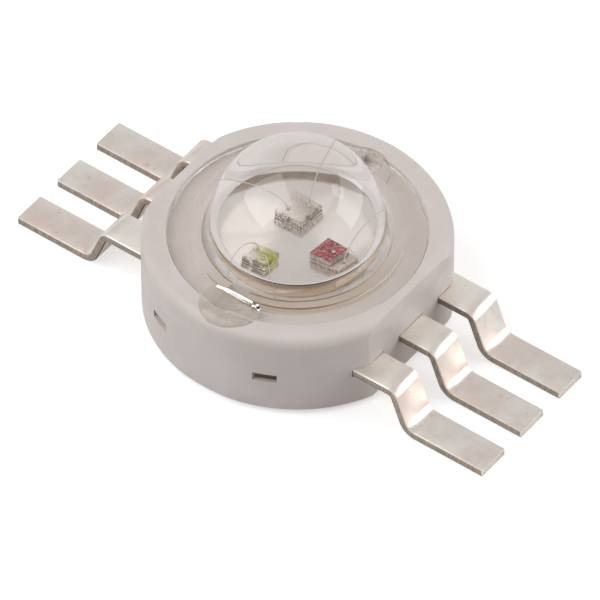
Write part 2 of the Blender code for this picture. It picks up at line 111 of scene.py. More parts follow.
@dataclass(frozen=True)
class Datum:
    """Levels and radii that several pieces share, in metres."""

    seat_gap: float = 0.02 * MM
    bond_gap: float = 0.005 * MM
    housing_radius: float = 4.0 * MM
    housing_low: float = 0.1 * MM
    housing_top: float = 2.62 * MM
    recess_floor: float = 2.30 * MM
    lead_low: float = 1.12 * MM
    lead_top: float = 1.35 * MM
    flat_reach: float = 3.6 * MM
    recess_radius: float = 3.35 * MM
    well_radius: float = 2.35 * MM
    post_radius: float = 1.5 * MM
    ear_offset: float = 2.60 * MM
    ear_radius: float = 0.83 * MM
    ear_top: float = 2.60 * MM
    port_offset: float = 3.065 * MM
    port_radius: float = 0.22 * MM
    runner_width: float = 0.5 * MM
    runner_depth: float = 0.3 * MM
    cup_depth: float = 0.04 * MM
    cup_rim: float = 0.04 * MM
    chip_size: float = 0.45 * MM

    @property
    def cup_floor(self) -> float:
        """Level of the floor of the slug's cup."""
        return self.recess_floor - self.cup_depth

    @property
    def pad_edge(self) -> float:
        """How near the axis a middle bond pad comes."""
        return self.post_radius + 0.08 * MM


DATUM = Datum()


def link(name: str, mesh: bpy.types.Mesh) -> bpy.types.Object:
    """Links a mesh into the scene.

    Args:
        name: Name of the object.
        mesh: Its mesh.

    Returns:
        The object.
    """
    piece = bpy.data.objects.new(name, mesh)
    bpy.context.scene.collection.objects.link(piece)
    return piece


def solid(name: str, bm: bmesh.types.BMesh) -> bpy.types.Object:
    """Turns a bmesh into an object with its faces pointing out.

    Args:
        name: Name of the object and its mesh.
        bm: Closed mesh, which is used up.

    Returns:
        The new object.
    """
    bmesh.ops.recalc_face_normals(bm, faces=bm.faces)
    mesh = bpy.data.meshes.new(name)
    bm.to_mesh(mesh)
    bm.free()
    return link(name, mesh)


def arc(centre: Spot, radius: float, start: float, end: float, steps: int) -> Profile:
    """Points along an arc.

    Args:
        centre: Middle of the arc.
        radius: Its radius.
        start: First angle, in radians.
        end: Last angle, in radians.
        steps: Number of straight runs.

    Returns:
        The points, both ends with them.
    """
    turns = [start + (end - start) * step / steps for step in range(steps + 1)]
    return [(centre[0] + radius * math.cos(turn), centre[1] + radius * math.sin(turn)) for turn in turns]


def ring(centre: Spot, radius: float, steps: int) -> Profile:
    """Points round a circle, the first one only once."""
    return arc(centre, radius, 0.0, math.tau, steps)[:-1]


def rectangle(centre: Spot, width: float, depth: float) -> Profile:
    """Corners of an upright rectangle."""
    corners = [(-1, -1), (1, -1), (1, 1), (-1, 1)]
    return [(centre[0] + x * width / 2, centre[1] + y * depth / 2) for x, y in corners]


def turned(name: str, profile: Profile, steps: int = 240) -> bpy.types.Object:
    """Turns a closed profile round the Z axis.

    Args:
        name: Name of the object.
        profile: Points of radius and height, those on the axis at radius 0.
        steps: Number of facets round the axis.

    Returns:
        The turned solid.
    """
    bm = bmesh.new()
    points = [bm.verts.new((radius, 0.0, height)) for radius, height in profile]
    edges = [bm.edges.new(pair) for pair in zip(points, points[1:] + points[:1])]
    on_axis = [edge for edge in edges if all(v.co.x == 0.0 for v in edge.verts)]
    bmesh.ops.delete(bm, geom=on_axis, context="EDGES_FACES")
    outline = bm.verts[:] + bm.edges[:]
    bmesh.ops.spin(bm, geom=outline, axis=(0, 0, 1), angle=math.tau, steps=steps, use_merge=True)
    bmesh.ops.remove_doubles(bm, verts=bm.verts, dist=0.00005 * MM)
    return solid(name, bm)


def prism(name: str, outline: Profile, low: float, high: float, across: bool = False) -> bpy.types.Object:
    """Extrudes a plan outline upwards, or a side outline along Y.

    Args:
        name: Name of the object.
        outline: Points in X and Y, or in X and Z where across is set.
        low: Start of the extrusion.
        high: End of the extrusion.
        across: Whether the outline is a side view.

    Returns:
        The extruded solid.
    """
    bm = bmesh.new()
    if across:
        points = [bm.verts.new((x, low, z)) for x, z in outline]
        shift = Vector((0.0, high - low, 0.0))
    else:
        points = [bm.verts.new((x, y, low)) for x, y in outline]
        shift = Vector((0.0, 0.0, high - low))
    grown = bmesh.ops.extrude_face_region(bm, geom=[bm.faces.new(points)])
    moved = [v for v in grown["geom"] if isinstance(v, bmesh.types.BMVert)]
    bmesh.ops.translate(bm, verts=moved, vec=shift)
    return solid(name, bm)


def settle(piece: bpy.types.Object) -> None:
    """Applies the modifiers of a piece to its mesh.

    Args:
        piece: The piece.
    """
    bpy.context.view_layer.update()
    graph = bpy.context.evaluated_depsgraph_get()
    mesh = bpy.data.meshes.new_from_object(piece.evaluated_get(graph))
    piece.modifiers.clear()
    piece.data = mesh


def combine(piece: bpy.types.Object, tool: bpy.types.Object, how: Carving) -> None:
    """Combines a piece with a tool, which is used up.

    Args:
        piece: The piece that stays.
        tool: The solid that cuts, joins or trims it.
        how: Kind of combination.
    """
    modifier = piece.modifiers.new(tool.name, "BOOLEAN")
    modifier.operation = how.value
    modifier.solver = "EXACT"
    modifier.object = tool
    settle(piece)
    bpy.data.objects.remove(tool, do_unlink=True)


def cut(piece: bpy.types.Object, tool: bpy.types.Object, turn: float = 0.0) -> None:
    """Cuts a tool, turned round the Z axis, out of a piece."""
    tool.rotation_euler.z = turn
    combine(piece, tool, Carving.CUT)


def round_edges(piece: bpy.types.Object, width: float, angle: float = 50.0, segments: int = 3) -> None:
    """Rounds the corners of a piece.

    Args:
        piece: The piece.
        width: How far the round reaches from the corner.
        angle: Least angle of a corner that is rounded, in degrees.
        segments: Number of facets across the round.
    """
    modifier = piece.modifiers.new("rounding", "BEVEL")
    modifier.width = width
    modifier.segments = segments
    modifier.limit_method = "ANGLE"
    modifier.angle_limit = math.radians(angle)
    settle(piece)


def smooth(piece: bpy.types.Object, angle: float = 32.0) -> None:
    """Shades a piece smooth, apart from corners sharper than an angle in degrees."""
    piece.data.shade_smooth()
    piece.data.set_sharp_from_angle(angle=math.radians(angle))


def tube(name: str, points: list[Vector], radii: list[float], sides: int = 12) -> bpy.types.Object:
    """Round rod of changing thickness along a line of points, closed at both ends.

    Args:
        name: Name of the object.
        points: Points along its middle.
        radii: Radius at each point.
        sides: Number of facets round it.

    Returns:
        The rod.
    """
    bm = bmesh.new()
    rings = []
    side = Vector((0.0, 0.0, 0.0))
    for index, (point, radius) in enumerate(zip(points, radii)):
        ahead = points[min(index + 1, len(points) - 1)] - points[max(index - 1, 0)]
        ahead.normalize()
        if side.length == 0.0:
            side = ahead.orthogonal()
        side = (side - ahead * side.dot(ahead)).normalized()
        up = ahead.cross(side)
        turns = [math.tau * step / sides for step in range(sides)]
        around = [point + (side * math.cos(turn) + up * math.sin(turn)) * radius for turn in turns]
        rings.append([bm.verts.new(co) for co in around])
    for low, high in zip(rings, rings[1:]):
        for step in range(sides):
            after = (step + 1) % sides
            bm.faces.new((low[step], low[after], high[after], high[step]))
    bm.faces.new(rings[0][::-1])
    bm.faces.new(rings[-1])
    return solid(name, bm)


class NodeGraph:
    """Node tree of one material, with short calls for the nodes that the finishes share."""

    # Nearly all of a cloudy value lies between these two.
    cloud_band: Span = (0.3, 0.7)

    def __init__(self, name: str) -> None:
        """Starts a material with one Principled shader.

        Args:
            name: Name of the material.
        """
        self.material = bpy.data.materials.new(name)
        self.material.use_nodes = True
        self.tree = self.material.node_tree
        self.shader = self.tree.nodes["Principled BSDF"]
        self.output = self.tree.nodes["Material Output"]

    def add(self, kind: str, **settings: object) -> bpy.types.Node:
        """Adds a node and gives it its settings.

        Args:
            kind: Type of the node.
            settings: Its settings, by name.

        Returns:
            The node.
        """
        node = self.tree.nodes.new(kind)
        for key, value in settings.items():
            setattr(node, key, value)
        return node

    def join(self, source: object, target: bpy.types.NodeSocket) -> None:
        """Links a socket to another, or sets the other's value where the source is a plain one.

        Args:
            source: Socket, or plain value.
            target: Socket that takes it.
        """
        if isinstance(source, bpy.types.NodeSocket):
            self.tree.links.new(source, target)
        else:
            target.default_value = source

    def uniform(self, **values: object) -> None:
        """Sets sockets of the shader that are the same all over.

        Args:
            values: Values of the sockets, by name with _ for a space.
        """
        for key, value in values.items():
            socket = key.replace("_", " ").title().replace("Ior", "IOR")
            self.shader.inputs[socket].default_value = value

    def place(self, stretch: Place = EVENLY) -> bpy.types.NodeSocket:
        """Place on the object, in metres.

        Args:
            stretch: Factors along the object's axes.

        Returns:
            The place.
        """
        at = self.add("ShaderNodeTexCoord").outputs["Object"]
        mapping = self.add("ShaderNodeMapping")
        mapping.inputs["Scale"].default_value = stretch
        self.join(at, mapping.inputs["Vector"])
        return mapping.outputs["Vector"]

    def noise(self, size: float, detail: float = 4.0, stretch: Place = EVENLY) -> bpy.types.NodeSocket:
        """Cloudy value from 0 to 1.

        Args:
            size: Size of its patches, in metres.
            detail: Number of finer layers.
            stretch: Factors along the object's axes.

        Returns:
            The value.
        """
        node = self.add("ShaderNodeTexNoise")
        node.inputs["Scale"].default_value = 1.0 / size
        node.inputs["Detail"].default_value = detail
        self.join(self.place(stretch), node.inputs["Vector"])
        return node.outputs["Fac"]

    def length(self, vector: bpy.types.NodeSocket) -> bpy.types.NodeSocket:
        """Length of a vector.

        Args:
            vector: The vector.

        Returns:
            Its length.
        """
        node = self.add("ShaderNodeVectorMath", operation="LENGTH")
        self.join(vector, node.inputs[0])
        return node.outputs["Value"]

    def radius(self) -> bpy.types.NodeSocket:
        """Distance from the Z axis of the object, in metres."""
        return self.length(self.place(IN_PLAN))

    def oval(self, centre: Spot, reach: Spot, turn: float) -> bpy.types.NodeSocket:
        """Distance in plan from the middle of an oval, 1 on its outline.

        Args:
            centre: Middle of the oval.
            reach: Its half lengths.
            turn: Direction of the first of them.

        Returns:
            The value.
        """
        mapping = self.add("ShaderNodeMapping", vector_type="TEXTURE")
        mapping.inputs["Location"].default_value = (*centre, 0.0)
        mapping.inputs["Rotation"].default_value = (0.0, 0.0, turn)
        mapping.inputs["Scale"].default_value = (*reach, 1.0)
        self.join(self.place(IN_PLAN), mapping.inputs["Vector"])
        return self.length(mapping.outputs["Vector"])

    def rings(self, size: float, wander: float) -> bpy.types.NodeSocket:
        """Cloudy value in fine rings round the Z axis.

        Args:
            size: Width of a ring.
            wander: How far the rings wander in and out.

        Returns:
            The value.
        """
        drift = self.spread(self.noise(2.0 * MM, 3.0), 0.0, 1.0, 0.0, wander)
        node = self.add("ShaderNodeTexNoise")
        node.inputs["Scale"].default_value = 1.0 / size
        self.join(self.maths("ADD", self.radius(), drift), node.inputs["Vector"])
        return node.outputs["Fac"]

    def axis(self, name: str) -> bpy.types.NodeSocket:
        """One coordinate of the place on the object, in metres.

        Args:
            name: X, Y or Z.

        Returns:
            The coordinate.
        """
        node = self.add("ShaderNodeSeparateXYZ")
        self.join(self.place(), node.inputs["Vector"])
        return node.outputs[name]

    def forward(self) -> bpy.types.NodeSocket:
        """X less Y, in metres, which grows towards the photograph's side."""
        return self.maths("SUBTRACT", self.axis("X"), self.axis("Y"))

    def ramp(self, value: object, stops: list[tuple[float, Colour]]) -> bpy.types.NodeSocket:
        """Colour read from a value.

        Args:
            value: The value.
            stops: Positions and their colours.

        Returns:
            The colour.
        """
        node = self.add("ShaderNodeValToRGB")
        for element, (position, colour) in zip(node.color_ramp.elements, stops):
            element.position = position
            element.color = (*colour, 1.0)
        self.join(value, node.inputs["Fac"])
        return node.outputs["Color"]

    def spread(self, value: object, low: float, high: float,
               to_low: float, to_high: float) -> bpy.types.NodeSocket:
        """Moves a value from one range into another, held at both ends.

        Args:
            value: The value.
            low: Where the first range starts.
            high: Where it ends.
            to_low: Result at its start.
            to_high: Result at its end.

        Returns:
            The moved value.
        """
        node = self.add("ShaderNodeMapRange")
        for key, number in zip(RANGE_ENDS, (low, high, to_low, to_high)):
            node.inputs[key].default_value = number
        self.join(value, node.inputs["Value"])
        return node.outputs["Result"]

    def rising(self, value: object, start: float, width: float) -> bpy.types.NodeSocket:
        """0 below a start, then rising to 1 over a width."""
        return self.spread(value, start, start + width, 0.0, 1.0)

    def falling(self, value: object, start: float, width: float) -> bpy.types.NodeSocket:
        """1 below a start, then falling to 0 over a width."""
        return self.spread(value, start, start + width, 1.0, 0.0)

    def uneven(self, cloud: object, low: float, high: float) -> bpy.types.NodeSocket:
        """Spreads a cloudy value between two values."""
        return self.spread(cloud, *self.cloud_band, low, high)

    def maths(self, operation: str, first: object, second: object = 0.0) -> bpy.types.NodeSocket:
        """One sum on two values.

        Args:
            operation: Kind of sum.
            first: First value.
            second: Second value.

        Returns:
            The result.
        """
        node = self.add("ShaderNodeMath", operation=operation)
        self.join(first, node.inputs[0])
        self.join(second, node.inputs[1])
        return node.outputs["Value"]

    def product(self, first: object, second: object) -> bpy.types.NodeSocket:
        """Product of two values."""
        return self.maths("MULTIPLY", first, second)

    def blend(self, share: object, first: object, second: object) -> bpy.types.NodeSocket:
        """Mixes two colours.

        Args:
            share: Share of the second colour.
            first: First colour, as a socket or three numbers.
            second: Second colour, likewise.

        Returns:
            The mixed colour.
        """
        node = self.add("ShaderNodeMix", data_type="RGBA")
        self.join(share, node.inputs["Factor"])
        sockets = [socket for socket in node.inputs if socket.type == "RGBA"]
        for colour, socket in zip((first, second), sockets):
            self.join((*colour, 1.0) if isinstance(colour, tuple) else colour, socket)
        return next(socket for socket in node.outputs if socket.type == "RGBA")

    def bump(self, height: object, distance: float, strength: float = 1.0) -> None:
        """Adds relief to the shader's normal, over any relief that it has.

        Args:
            height: Value of the relief from 0 to 1.
            distance: Height of the relief in metres.
            strength: Share of the relief that shows.
        """
        node = self.add("ShaderNodeBump")
        node.inputs["Strength"].default_value = strength
        node.inputs["Distance"].default_value = distance
        self.join(height, node.inputs["Height"])
        target = self.shader.inputs["Normal"]
        if target.is_linked:
            self.join(target.links[0].from_socket, node.inputs["Normal"])
        self.join(node.outputs["Normal"], target)

    def lamp_rays(self) -> bpy.types.NodeSocket:
        """1 for rays that carry lamp light to what a clear piece covers, and 0 for the others."""
        rays = self.add("ShaderNodeLightPath")
        return self.maths("MAXIMUM", rays.outputs["Is Shadow Ray"], rays.outputs["Is Diffuse Ray"])

    def show_through(self, share: object) -> None:
        """Makes a share of the surface let everything straight through.

        Args:
            share: The share, from 0 to 1.
        """
        mixed = self.add("ShaderNodeMixShader")
        self.join(share, mixed.inputs[0])
        self.join(self.shader.outputs["BSDF"], mixed.inputs[1])
        self.join(self.add("ShaderNodeBsdfTransparent").outputs["BSDF"], mixed.inputs[2])
        self.join(mixed.outputs["Shader"], self.output.inputs["Surface"])

    def colour(self, source: object) -> None:
        """Gives the shader its colour."""
        self.join(source, self.shader.inputs["Base Color"])

    def roughness(self, source: object) -> None:
        """Gives the shader its roughness."""
        self.join(source, self.shader.inputs["Roughness"])

    def metal(self, share: object) -> None:
        """Gives the shader its share of bare metal."""
        self.join(share, self.shader.inputs["Metallic"])


@dataclass(frozen=True)
class MouldedPlastic:
    """White moulded plastic, slightly translucent and finely grained.

    It is paler in the well, where the paler colour is painted light against the well's shade, and a darker
    tan under the front of the lens, where the tan is painted shade.
    """

    name: str = "housing_plastic"
    pale: Colour = (0.84, 0.765, 0.735)
    dull: Colour = (0.79, 0.715, 0.685)
    # Paler colour of the plastic in the well: painted light.
    well_painted_light: Colour = (0.96, 0.91, 0.895)
    # Darker tan under the front of the lens: painted shade.
    front_tan_shade: Colour = (0.66, 0.57, 0.48)
    front_shade_start: float = 1.2 * MM
    front_shade_fade: float = 1.8 * MM
    front_shade_radius: float = 2.80 * MM
    edge_fade: float = 0.06 * MM
    well_fade: float = 0.02 * MM
    cloud_size: float = 1.1 * MM
    patch_size: float = 0.25 * MM
    roughness: Span = (0.34, 0.44)
    grain_size: float = 0.045 * MM
    grain_height: float = 0.002 * MM
    wave_size: float = 0.9 * MM
    wave_height: float = 0.012 * MM
    light_share: float = 0.25
    light_depth: float = 0.35 * MM
    light_reach: Colour = (1.0, 0.8, 0.7)

    def material(self) -> bpy.types.Material:
        """Makes the material.

        Returns:
            The material.
        """
        graph = NodeGraph(self.name)
        body = graph.ramp(graph.noise(self.cloud_size, 5.0), [(0.35, self.dull), (0.65, self.pale)])
        in_well = graph.falling(graph.radius(), DATUM.well_radius, self.well_fade)
        # Darker tan towards the front under the lens: painted shade.
        front = graph.rising(graph.forward(), self.front_shade_start, self.front_shade_fade)
        near = graph.falling(graph.radius(), self.front_shade_radius, self.edge_fade)
        # Paler plastic in the well: painted light against its shade.
        body = graph.blend(in_well, body, self.well_painted_light)
        graph.colour(graph.blend(graph.product(front, near), body, self.front_tan_shade))
        graph.roughness(graph.uneven(graph.noise(self.patch_size), *self.roughness))
        graph.bump(graph.noise(self.grain_size, 3.0), self.grain_height, 0.5)
        graph.bump(graph.noise(self.wave_size, 2.0), self.wave_height, 0.4)
        graph.uniform(subsurface_weight=self.light_share, subsurface_scale=self.light_depth)
        graph.uniform(subsurface_radius=self.light_reach)
        return graph.material


@dataclass(frozen=True)
class Plating:
    """Satin silver plating with a blush, stains and fine lines.

    It is paler beside the housing, which is painted light, and matt, pale and not metal on the pads in the
    well, where the paler colour is painted light too.
    """

    name: str = "lead_plating"
    bright: Colour = (0.90, 0.84, 0.79)
    tarnished: Colour = (0.82, 0.75, 0.69)
    blush: Colour = (0.84, 0.70, 0.63)
    blush_size: float = 1.7 * MM
    blush_band: Span = (0.46, 0.63)
    blush_share: float = 0.85
    stain: Colour = (0.66, 0.46, 0.38)
    stain_size: float = 0.30 * MM
    stain_band: Span = (0.66, 0.74)
    stain_share: float = 0.45
    # Paler colour of the leads beside the housing: painted light.
    root: Colour = (1.0, 0.95, 0.88)
    root_light_reach: float = 4.25 * MM
    root_light_fade: float = 0.3 * MM
    root_light_share: float = 0.9
    # Matt pads in the well; their paleness is painted light.
    pad: Colour = (0.96, 0.91, 0.895)
    pad_fade: float = 0.02 * MM
    cloud_size: float = 0.8 * MM
    patch_size: float = 0.2 * MM
    roughness: Span = (0.26, 0.36)
    line_size: float = 0.05 * MM
    line_stretch: Place = (0.06, 1.0, 1.0)
    line_height: float = 0.0008 * MM
    wave_size: float = 0.9 * MM
    wave_height: float = 0.010 * MM

    def material(self) -> bpy.types.Material:
        """Makes the material.

        Returns:
            The material.
        """
        graph = NodeGraph(self.name)
        body = graph.ramp(graph.noise(self.cloud_size, 5.0), [(0.35, self.tarnished), (0.62, self.bright)])
        blushed = graph.spread(graph.noise(self.blush_size, 2.0), *self.blush_band, 0.0, self.blush_share)
        body = graph.blend(blushed, body, self.blush)
        stained = graph.spread(graph.noise(self.stain_size, 5.0), *self.stain_band, 0.0, self.stain_share)
        body = graph.blend(stained, body, self.stain)
        # Paler near the housing wall: painted light against the wall's shade.
        root_lit = graph.falling(graph.maths("ABSOLUTE", graph.axis("X")), self.root_light_reach, self.root_light_fade)
        body = graph.blend(graph.product(root_lit, self.root_light_share), body, self.root)
        # Pads in the well: matt, not metal, and paler as painted light.
        in_well = graph.falling(graph.radius(), DATUM.well_radius - self.pad_fade, self.pad_fade)
        graph.colour(graph.blend(in_well, body, self.pad))
        graph.metal(graph.maths("SUBTRACT", 1.0, in_well))
        graph.roughness(graph.uneven(graph.noise(self.patch_size, 5.0), *self.roughness))
        graph.bump(graph.noise(self.line_size, 3.0, self.line_stretch), self.line_height, 0.4)
        graph.bump(graph.noise(self.wave_size, 2.0), self.wave_height, 0.6)
        return graph.material


@dataclass(frozen=True)
class ShearedEdge:
    """Sheared side of a punched strip, with fine upright scoring."""

    name: str = "lead_sheared_edge"
    bare: Colour = (0.33, 0.28, 0.24)
    smeared: Colour = (0.54, 0.47, 0.41)
    score_size: float = 0.05 * MM
    score_stretch: Place = (1.0, 1.0, 0.15)
    score_height: float = 0.003 * MM
    roughness: Span = (0.35, 0.55)

    def material(self) -> bpy.types.Material:
        """Makes the material.

        Returns:
            The material.
        """
        graph = NodeGraph(self.name)
        scoring = graph.noise(self.score_size, 4.0, self.score_stretch)
        graph.colour(graph.ramp(scoring, [(0.35, self.bare), (0.7, self.smeared)]))
        graph.roughness(graph.uneven(scoring, *self.roughness))
        graph.bump(scoring, self.score_height, 0.6)
        graph.metal(1.0)
        return graph.material


@dataclass(frozen=True)
class CupPlating:
    """Bright plating of the heat slug, with a pale matt margin round the cup, whose paleness is partly
    painted light, and a tan wall.

    A faint line of painted shade runs round the oval of bright floor, and a darker painted shadow along the
    front of the corner.
    """

    name: str = "slug_plating"
    bright: Colour = (0.86, 0.785, 0.745)
    dull: Colour = (0.81, 0.735, 0.695)
    # Pale matt margin; its extra paleness is painted light.
    pale_margin_and_light: Colour = (0.94, 0.865, 0.845)
    # Dark colour of the painted shade lines.
    line: Colour = (0.10, 0.08, 0.07)
    tan: Colour = (0.88, 0.76, 0.64)
    floor_centre: Spot = (-0.06 * MM, 0.08 * MM)
    floor_reach: Spot = (1.10 * MM, 1.36 * MM)
    floor_turn: float = math.radians(37)
    outline_fade: float = 0.01
    shade_line_start: float = 0.99
    shade_line_end: float = 1.03
    line_share: float = 0.15
    corner_width: float = 0.06 * MM
    corner_start: float = 0.9 * MM
    corner_fade: float = 0.6 * MM
    margin_low: float = 2.2 * MM
    wall_low: float = 0.86 * MM
    level_fade: float = 0.01 * MM
    cloud_size: float = 0.5 * MM
    patch_size: float = 0.12 * MM
    roughness: Span = (0.17, 0.23)
    margin_roughness: float = 0.25
    wave_size: float = 0.3 * MM
    wave_height: float = 0.001 * MM

    def material(self) -> bpy.types.Material:
        """Makes the material.

        Returns:
            The material.
        """
        graph = NodeGraph(self.name)
        plated = graph.ramp(graph.noise(self.cloud_size, 5.0), [(0.35, self.dull), (0.65, self.bright)])
        reach = graph.oval(self.floor_centre, self.floor_reach, self.floor_turn)
        level = graph.axis("Z")
        outside = graph.rising(reach, 1.0, self.outline_fade)
        high = graph.rising(level, self.margin_low, self.level_fade)
        pale = graph.product(outside, high)
        # Faint painted shade round the oval of bright floor.
        starts = graph.rising(reach, self.shade_line_start, self.outline_fade)
        ends = graph.falling(reach, self.shade_line_end, self.outline_fade)
        faint = graph.product(graph.product(starts, ends), self.line_share)
        # Painted shadow along the front of the cup's corner.
        corner = graph.rising(graph.radius(), DATUM.post_radius - self.corner_width, self.level_fade)
        corner = graph.product(corner, graph.rising(graph.forward(), self.corner_start, self.corner_fade))
        shade_lines = graph.product(graph.maths("MAXIMUM", faint, corner), high)
        wall = graph.product(outside, graph.rising(level, self.wall_low, 2 * self.level_fade))
        body = graph.blend(wall, plated, self.tan)
        # Pale matt margin round the cup; its extra paleness is painted light.
        body = graph.blend(pale, body, self.pale_margin_and_light)
        graph.colour(graph.blend(shade_lines, body, self.line))
        rough = graph.uneven(graph.noise(self.patch_size), *self.roughness)
        graph.roughness(graph.maths("ADD", rough, graph.product(pale, self.margin_roughness)))
        graph.bump(graph.noise(self.wave_size, 2.0), self.wave_height, 0.5)
        graph.metal(graph.maths("SUBTRACT", 1.0, pale))
        return graph.material


@dataclass(frozen=True)
class ClearPolymer:
    """Clear polymer of the lens and the silicone under it, with fine rings on the skirt and the flange."""

    name: str = "lens_clear"
    tint: Colour = (0.985, 0.98, 0.97)
    clearest: Colour = (1.0, 1.0, 0.995)
    skirt_tint: Colour = (0.905, 0.875, 0.84)
    skirt_low: float = 2.65 * MM
    skirt_fade: float = 0.33 * MM
    cloud_size: float = 1.5 * MM
    patch_size: float = 0.5 * MM
    roughness: Span = (0.0, 0.03)
    wave_size: float = 0.7 * MM
    wave_height: float = 0.006 * MM
    ring_size: float = 0.13 * MM
    ring_wander: float = 0.20 * MM
    ring_height: float = 0.020 * MM
    bend: float = 1.5

    def material(self) -> bpy.types.Material:
        """Makes the material.

        Returns:
            The material.
        """
        graph = NodeGraph(self.name)
        clear = graph.ramp(graph.noise(self.cloud_size, 2.0), [(0.3, self.tint), (0.7, self.clearest)])
        below = graph.falling(graph.axis("Z"), self.skirt_low, self.skirt_fade)
        graph.colour(graph.blend(below, clear, self.skirt_tint))
        graph.roughness(graph.uneven(graph.noise(self.patch_size), *self.roughness))
        graph.bump(graph.noise(self.wave_size, 2.0), self.wave_height, 0.3)
        graph.bump(graph.product(graph.rings(self.ring_size, self.ring_wander), below), self.ring_height, 0.6)
        graph.uniform(transmission_weight=1.0, ior=self.bend)
        graph.show_through(graph.lamp_rays())
        return graph.material


@dataclass(frozen=True)
class FrostedSilicone:
    """Spilt silicone, nearly clear, greyish with fine dust and uneven on top."""

    name: str = "spilt_silicone"
    clear: Colour = (0.93, 0.885, 0.83)
    dusty: Colour = (0.80, 0.74, 0.68)
    dust_size: float = 0.16 * MM
    roughness: Span = (0.03, 0.12)
    wave_size: float = 0.22 * MM
    wave_height: float = 0.022 * MM
    clearness: float = 0.8
    lamp_share: float = 0.6
    bend: float = 1.41

    def material(self) -> bpy.types.Material:
        """Makes the material.

        Returns:
            The material.
        """
        graph = NodeGraph(self.name)
        cloud = graph.noise(self.dust_size, 6.0)
        graph.colour(graph.ramp(cloud, [(0.34, self.dusty), (0.68, self.clear)]))
        graph.roughness(graph.uneven(cloud, *self.roughness))
        graph.bump(graph.noise(self.wave_size, 3.0), self.wave_height, 0.8)
        graph.uniform(transmission_weight=self.clearness, ior=self.bend)
        graph.show_through(graph.product(graph.lamp_rays(), self.lamp_share))
        return graph.material


@dataclass(frozen=True)
class RedChipFace:
    """Red chip: grainy top with pink grains painted as glints, a dark contact grid, and a dark frame along
    its corners.
    """

    name: str = "chip_red"
    body: Colour = (0.20, 0.018, 0.018)
    # Pink of the grains: painted glints.
    light: Colour = (0.92, 0.29, 0.27)
    line: Colour = (0.07, 0.03, 0.03)
    line_share: float = 0.55
    line_width: float = 0.012 * MM
    pitch: float = 0.11 * MM
    half_size: float = DATUM.chip_size / 2
    frame_width: float = 0.02 * MM
    frame_share: float = 0.85
    grain_size: float = 0.035 * MM
    grain_height: float = 0.004 * MM
    roughness: Span = (0.25, 0.45)

    def material(self) -> bpy.types.Material:
        """Makes the material.

        Returns:
            The material.
        """
        graph = NodeGraph(self.name)
        grain = graph.noise(self.grain_size, 6.0)
        # Grain from dark red to pink, the pink a painted glint.
        body = graph.ramp(grain, [(0.42, self.body), (0.66, self.light)])
        ways = (graph.axis("X"), graph.axis("Y"))
        nearest = graph.maths("MINIMUM", *(graph.maths("PINGPONG", way, self.pitch / 2) for way in ways))
        lines = graph.spread(nearest, self.line_width * 0.4, self.line_width, self.line_share, 0.0)
        edge = graph.maths("MAXIMUM", *(graph.maths("ABSOLUTE", way) for way in ways))
        inside = self.half_size - self.frame_width
        rim = graph.spread(edge, inside, inside + self.frame_width / 2, 0.0, self.frame_share)
        graph.colour(graph.blend(graph.maths("MAXIMUM", lines, rim), body, self.line))
        graph.roughness(graph.uneven(grain, *self.roughness))
        graph.bump(grain, self.grain_height, 0.8)
        return graph.material


@dataclass(frozen=True)
class SapphireFace:
    """Clear chip over its bright solder, tinted towards its +X+Y corner and speckled dark at two edges."""

    name: str
    tint: Colour
    tint_start: float = -0.1 * MM
    tint_fade: float = 0.35 * MM
    pale: Colour = (0.99, 0.97, 0.95)
    speck: Colour = (0.16, 0.14, 0.12)
    speck_size: float = 0.022 * MM
    speck_reach: float = 0.05 * MM
    speck_band: Span = (0.45, 0.56)
    speck_gain: float = 1.5
    right_share: float = 0.7
    half_size: float = DATUM.chip_size / 2
    patch_size: float = 0.08 * MM
    roughness: Span = (0.02, 0.10)
    wave_size: float = 0.1 * MM
    wave_height: float = 0.002 * MM
    bend: float = 1.02

    def material(self) -> bpy.types.Material:
        """Makes the material.

        Returns:
            The material.
        """
        graph = NodeGraph(self.name)
        across, along = graph.axis("X"), graph.axis("Y")
        tinted = graph.rising(graph.maths("ADD", across, along), self.tint_start, self.tint_fade)
        body = graph.blend(tinted, self.pale, self.tint)
        front = graph.falling(along, -self.half_size, self.speck_reach)
        right = graph.rising(across, self.half_size - self.speck_reach, self.speck_reach)
        edges = graph.maths("MAXIMUM", front, graph.product(right, self.right_share))
        grains = graph.spread(graph.noise(self.speck_size, 3.0), *self.speck_band, 0.0, self.speck_gain)
        graph.colour(graph.blend(graph.product(edges, grains), body, self.speck))
        graph.roughness(graph.uneven(graph.noise(self.patch_size), *self.roughness))
        graph.bump(graph.noise(self.wave_size, 3.0), self.wave_height, 0.5)
        graph.uniform(transmission_weight=1.0, ior=self.bend)
        graph.show_through(graph.lamp_rays())
        return graph.material


